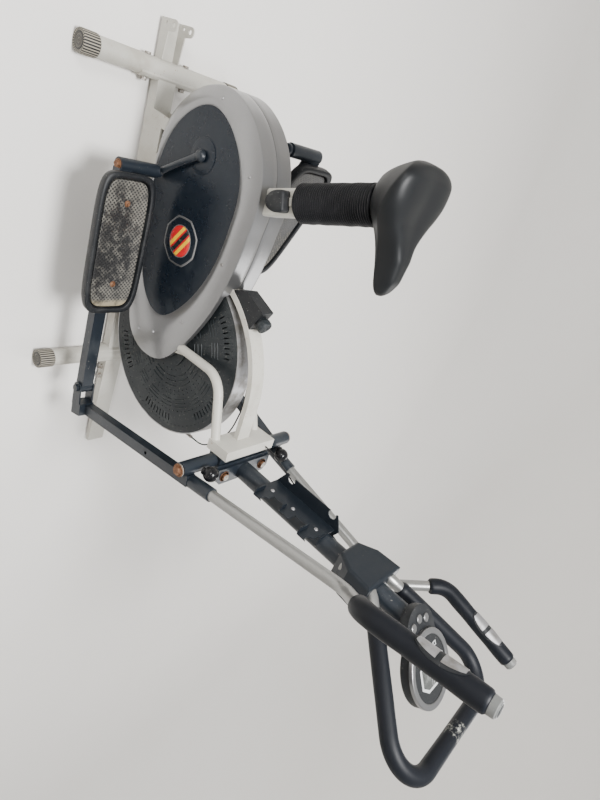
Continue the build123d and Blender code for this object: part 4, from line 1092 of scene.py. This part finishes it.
PEDALS = {"right": ((849.98, 0, 170.02), RIGHT_TILT), "left": ((647.97, 0, 206.06), LEFT_TILT)}
screw_head = [(0.0, 4.6), (2.0, 4.6), (2.4, 3.6), (4.0, 5.2), (7.0, 3.4), (8.4, 1.0), (0.0, 0.0)]
for word in ARMS:
    side = ARMS[word][0]
    bolt(word + "_arm_pivot_nut", (828, side * 204, 631), (0, side, 0), "frame", 10.5, 9.0, 17.0)
    bolt(word + "_post_bolt", (862, side * 72, 668), (0, 0, 1), "frame", 9.0, 8.0, 15.0)
    pivot, tilt = PEDALS[word]
    barrel_end = turned((-622.7, side * 194.0, 0), pivot, tilt)
    bolt(word + "_crank_pin_nut", barrel_end, (0, side, 0), word + "_pedal", 8.0, 8.0, 12.5)
    heads = [turned(lathe(screw_head, (x, side * 176.5, 37.6), (0, 0, 1), 20), pivot, tilt) for x in (-540.0, -330.0)]
    many(word + "_tread_screws", (7, 20), np.array(heads), rust, word + "_pedal")
print("bolts done")

# %% [markdown]
# The foot trays are deep black mouldings with round corners and slightly bowed long sides. The tread
# lies inside and shows a margin of tray all round. Both are one plan outline carried up a wall profile.

# %% Foot trays and treads
TRAY = (-614.0, -249.0, 97.0, 256.0)
POLE = 99


def plan(margin, columns=160):
    """A rectangle with round corners: points at even angles of a superellipse, drawn in by a margin."""
    x0, x1, y0, y1 = TRAY
    angle = np.linspace(0, 2 * pi, columns, endpoint=False)
    c, s = np.cos(angle), np.sin(angle)
    half_x, half_y = (x1 - x0) / 2 - margin, (y1 - y0) / 2 - margin
    power = 2 / 5.5
    x = half_x * np.sign(c) * np.abs(c) ** power
    y = half_y * np.sign(s) * np.abs(s) ** power
    return np.stack([(x0 + x1) / 2 + x, (y0 + y1) / 2 + y], 1)


def from_plan(rows, side):
    """Rows of (margin, height) above the plan, mirrored to the machine's side. A row at POLE shrinks to a
    small ring in the middle, which closes the surface there."""
    out = []
    small_plan = plan(70)
    middle = small_plan.mean(0)
    for margin, height in rows:
        flat = (small_plan - middle) * 0.02 + middle if margin == POLE else plan(margin)
        out.append(np.column_stack([flat[:, 0], side * flat[:, 1], np.full(len(flat), height)]))
    return np.array(out)


tray_rows = [
    (POLE, 18.0), (8.0, 18.0), (3.0, 20.0), (1.5, 24.0), (0.0, 38.0), (0.6, 42.0), (3.0, 44.0), (10.0, 44.0),
    (13.0, 42.5), (14.5, 38.0), (15.0, 30.0), (17.0, 27.0), (POLE, 26.5),
]
tread_rows = [
    (POLE, 28.0), (19.0, 28.0), (18.0, 29.0), (17.8, 36.0), (18.6, 38.0), (20.5, 38.6), (23.0, 38.0), (POLE, 38.0),
]
for word, (pivot, tilt) in PEDALS.items():
    side = ARMS[word][0]
    shape = turned(from_plan(tray_rows, side), pivot, tilt)
    tray = surface(word + "_tray_shell", shape, black, word + "_pedal", sharp=40.0)
    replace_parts(tray, word + "_foot_tray")
    rubber = tread_right if word == "right" else tread_left
    shape = turned(from_plan(tread_rows, side), pivot, tilt)
    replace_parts(surface(word + "_tread_pad", shape, rubber, word + "_pedal"), word + "_tread")

# %% [markdown]
# The cranks are slim forgings: a round hub, an arm that swells outwards and tapers, and an eye for the
# pedal's pin. A sweep along a gently bowed line, with a radius at each point, makes one of them.

# %% Cranks
TURN = radians(-60.3)
CRANK_R = 156.0
for word, side, turn in (("right", -1, TURN), ("left", 1, TURN + pi)):
    share = np.linspace(0, 1, 29)
    reach = CRANK_R * share
    out = 72.5 + 2.8 * np.sin(pi * share) ** 2
    line = np.stack([CRANK[0] + reach * cos(turn), side * out, CRANK[1] + reach * sin(turn)], 1)
    radius = 5.6 - 1.0 * np.sin(pi * share)
    ring = swept(line, radius, 28)
    wide = np.array([-sin(turn), 0, cos(turn)])
    ring = ring + ((ring - line[:, None]) @ wide)[..., None] * wide * 0.75
    crank_arm = surface(word + "_crank_arm", ring, slate, "crank", sharp=50.0)
    hub = [(0, 7.4), (7.0, 7.2), (11.0, 6.0), (14.0, 2.5), (15.0, -4.6), (0, -4.6)]
    hub_at = (CRANK[0], side * 71.5, CRANK[1])
    surface(word + "_crank_hub", lathe(hub, hub_at, (0, side, 0), 40), slate, "crank")
    eye_at = (CRANK[0] + CRANK_R * cos(turn), side * 73.5, CRANK[1] + CRANK_R * sin(turn))
    eye = [(0, 5.4), (11.0, 5.4), (13.6, 4.0), (14.4, 0.0), (13.6, -4.0), (11.0, -5.4), (0, -5.4)]
    surface(word + "_crank_eye", lathe(eye, eye_at, (0, side, 0), 40), slate, "crank")
    if side < 0:
        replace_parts(crank_arm, "crank_arms")
print("pedals and cranks done")

# %% [markdown]
# The post covers and the bracket on the post are held by small domed screws, three on each.

# %% Small screws on the post
POST_LEAN = radians(3.4)


def on_post(x, y, w):
    """A point in the post's own frame, w along it from its foot, on the leaning post."""
    c, s = cos(POST_LEAN), sin(POST_LEAN)
    return np.array([863 + x * c + w * s, y, 668 - x * s + w * c])


small = [(0.0, 2.6), (1.6, 2.6), (2.0, 1.8), (4.2, 2.0), (5.4, 0.8), (5.6, -2.0), (0.0, -2.0)]
post_back = np.array([-cos(POST_LEAN), 0, sin(POST_LEAN)])
spots = [lathe(small, on_post(-31.2, y, w), post_back, 16) for y, w in ((-20, 122), (-20, 196), (-20, 276))]
spots += [lathe(small, on_post(-36.5, y, w), post_back, 16) for y, w in ((-44, 446), (44, 446), (0, 384))]
many("post_screws", (7, 16), np.array(spots), steel, "frame")


# %% Return spring of the brake
def spring_points():
    """A helix of 9 turns, radius 4 mm, going down from the cable's end to the strap's end."""
    share = np.linspace(0, 1, 9 * 14 + 1)
    turn = share * 9 * 2 * pi
    line = np.stack([889 + 4 * np.cos(turn), 4 * np.sin(turn), 456 - 26 * share], 1)
    return swept(line, 0.8, 8, (0.0, 0.0, 1.0))


surface("brake_spring", spring_points(), old_bolt, "frame", sharp=60.0)

# %% [markdown]
# The knobs: glossy black balls on the arms, a fluted knob with a stepped collar on the tension block,
# and a shield-shaped handle with a pale boss that locks the seat post.

# %% Ball knobs
ball = [(0.0, 20.2), (5.2, 19.5), (10.1, 17.4), (14.3, 14.2), (17.4, 10.1), (19.5, 5.2), (20.2, 0.0), (19.5, -5.2),
        (17.4, -10.1), (14.0, -14.3), (10.5, -17.2), (9.4, -20.0), (9.2, -23.5), (0.0, -23.5)]
for word in ARMS:
    shape = arm(lathe(ball, (0, 142, 50), (0.05, -0.35, 0.94), 48), word)
    knob = surface(word + "_knob_ball", shape, knob_gloss, word + "_knob", sharp=50.0)
    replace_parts(knob, word + "_ball_knob")

# %% Tension knob
KNOB_AXIS = (sin(radians(27.3)), 0, cos(radians(27.3)))


def lobed(angle):
    """Radius share of sixteen soft finger flutes."""
    return 1.0 - 0.035 * (0.5 + 0.5 * np.cos(16 * angle)) ** 2


grip_rows = lathe([(0.0, 0.0), (14.0, 0.0), (15.5, 1.0), (15.8, 5.0), (18.4, 6.0)], (466, 0, 579), KNOB_AXIS, 128)
flute_rows = lathe([(19.4, 7.5), (19.6, 10.0), (19.6, 19.0), (19.2, 21.0)], (466, 0, 579), KNOB_AXIS, 128, lobed)
end_rows = lathe([(17.6, 23.0), (15.6, 23.6), (14.8, 22.4), (12.0, 22.4), (11.2, 23.4), (8.6, 23.4), (7.8, 22.2),
                  (5.0, 22.2), (4.4, 23.2), (0.0, 23.4)], (466, 0, 579), KNOB_AXIS, 128)
dial_rows = np.concatenate([grip_rows, flute_rows, end_rows])
knob = surface("tension_dial", dial_rows, dusty, "brake_knob")
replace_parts(knob, "tension_knob")


# %% Seat lock handle
def shield_points():
    """A shield outline, flat on top and round below, as rows from the back plate to a crowned front."""
    angle = np.linspace(0, 2 * pi, 72, endpoint=False)
    up, out = np.sin(angle), np.cos(angle)
    wide = 24.5 * np.sign(out) * np.abs(out) ** np.where(up > 0, 0.3, 1.1)
    tall = np.where(up > 0, 20.0 * np.abs(up) ** 0.3 + 1.5 * up, -35.0 * np.abs(up) ** 1.05)
    rows = [(0.96, -32.0), (1.0, -33.5), (1.0, -52.0), (0.96, -56.0), (0.86, -58.5), (0.5, -59.6), (0.02, -60.0)]
    middle = SEAT_FOOT + 549.0 * SEAT_AXIS
    flat = wide[:, None] * SEAT_SIDE + tall[:, None] * SEAT_AXIS
    return np.array([middle + s * flat + [0, y, 0] for s, y in rows])


knob = surface("seat_lock_handle", shield_points(), black, "seat_pin", sharp=45.0)
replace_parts(knob, "seat_knob")
boss_at = SEAT_FOOT + 571.0 * SEAT_AXIS + [0, -30.5, 0]
surface("seat_lock_boss", lathe([(0, 5.4), (8.2, 5.2), (9.6, 4.0), (10.0, 0.0), (0, 0.0)], boss_at, (0, -1, 0), 32),
        cream, "frame")

# %% [markdown]
# The display keeps its engineering ring and body. Its dark face carries plain pale window frames, drawn
# as thin raised outlines, and a small row of marks under the keys.

# %% Display markings
DISPLAY = (963.0, 0.0, 1324.0)
DISPLAY_TILT = 37.0
pale_mark = black_moulding("pale_mark", (0.42, 0.43, 0.43), (0.2, 0.2, 0.2), 0.2, 0.4)
lcd = black_moulding("lcd_grey", (0.13, 0.135, 0.13), (0.2, 0.2, 0.2), 0.2, 0.18)


def frame_ring(corners, width, low, high):
    """A raised outline along a closed polygon on the display's face, in the face's own x and y."""
    corners = np.asarray(corners, float)
    middle = corners.mean(0)
    out = corners - middle
    length = np.linalg.norm(out, axis=1)[:, None]
    inner = middle + out * (length - width) / length
    rows = [(corners, low), (corners, high), (inner, high), (inner, low)]
    local = np.array([np.column_stack([c, np.full(len(c), h)]) for c, h in rows])
    return turned(local, DISPLAY, DISPLAY_TILT)


LCD = [(-16, -46), (26, -50), (44, -26), (44, 26), (26, 50), (-16, 46), (-22, 0)]
surface("display_frame", frame_ring(LCD, 7.0, 0.1, 0.9), pale_mark, "frame", wrap_rows=True)
bar = frame_ring([(-20, -4), (43, -4), (43, 4), (-20, 4)], 3.6, 0.1, 1.0)
surface("display_cross_bar", bar, pale_mark, "frame", wrap_rows=True)
lcd_rows = np.array([[(x * s + 12 * (1 - s), y * s, 0.45) for x, y in LCD] for s in (0.85, 0.4, 0.02)])
lcd_rows = turned(lcd_rows, DISPLAY, DISPLAY_TILT)
surface("display_glass", lcd_rows, lcd, "frame")
for k, y in enumerate((-34, -12, 12, 34)):
    surface(f"display_mark_{k}", frame_ring([(-46, y - 7), (-36, y - 7), (-36, y + 7), (-46, y + 7)], 3.4, 0.1, 0.8),
            pale_mark, "frame", wrap_rows=True)

# %% [markdown]
# The stage is a wide pale floor whose far edge curves up into a pale wall, as a studio sweep does, so no
# horizon shows. One soft light hangs above and two weaker ones stand at the sides.

# %% Floor and lights
sweep = np.linspace(0, pi / 2, 16)
bowl_r = np.r_[0.0, 1.5, 3.2, 3.2 + 1.4 * np.sin(sweep), 4.6]
bowl_z = np.r_[0.0, 0.0, 0.0, 1.4 * (1 - np.cos(sweep)), 3.4]
around = np.linspace(0, 2 * pi, 96, endpoint=False)
ring = np.stack([np.cos(around), np.sin(around)], 1)
heights = np.broadcast_to(bowl_z[:, None, None], (len(bowl_r), 96, 1))
bowl = np.concatenate([bowl_r[:, None, None] * ring[None], heights], 2)
quads, _ = grid(len(bowl_r), 96)
floor_mesh = bpy.data.meshes.new("floor")
floor_mesh.from_pydata(bowl.reshape(-1, 3).tolist(), [], quads.tolist())
floor_mesh.polygons.foreach_set("use_smooth", [True] * len(floor_mesh.polygons))
floor = bpy.data.objects.new("floor", floor_mesh)
bpy.context.scene.collection.objects.link(floor)
floor_paint = Paint("pale_floor")
speckle = floor_paint.noise(3.0, 3.0)
floor_mesh.materials.append(
    floor_paint.finish(floor_paint.mix(speckle, (0.76, 0.74, 0.71), (0.79, 0.77, 0.74)), speckle * 0.1 + 0.6)
)


def soft_light(name, at, towards, size, power):
    lamp = bpy.data.lights.new(name, "AREA")
    lamp.shape = "DISK"
    lamp.size = size
    lamp.energy = power
    made = bpy.data.objects.new(name, lamp)
    made.location = at
    made.rotation_euler = (Vector(towards) - Vector(at)).to_track_quat("-Z", "Y").to_euler()
    bpy.context.scene.collection.objects.link(made)


soft_light("ceiling_light", (-0.7, -0.5, 3.0), (0.0, 0.0, 0.5), 0.9, 160.0)
soft_light("side_light", (-2.6, -2.4, 2.4), (0.0, 0.0, 0.5), 1.2, 75.0)
soft_light("back_light", (2.0, 2.6, 2.2), (0.0, 0.0, 0.5), 1.6, 40.0)
world = bpy.data.worlds.new("pale_room")
world.use_nodes = True
world.node_tree.nodes["Background"].inputs["Color"].default_value = (0.86, 0.86, 0.85, 1.0)
world.node_tree.nodes["Background"].inputs["Strength"].default_value = 0.85
bpy.context.scene.world = world
print("stage ready")
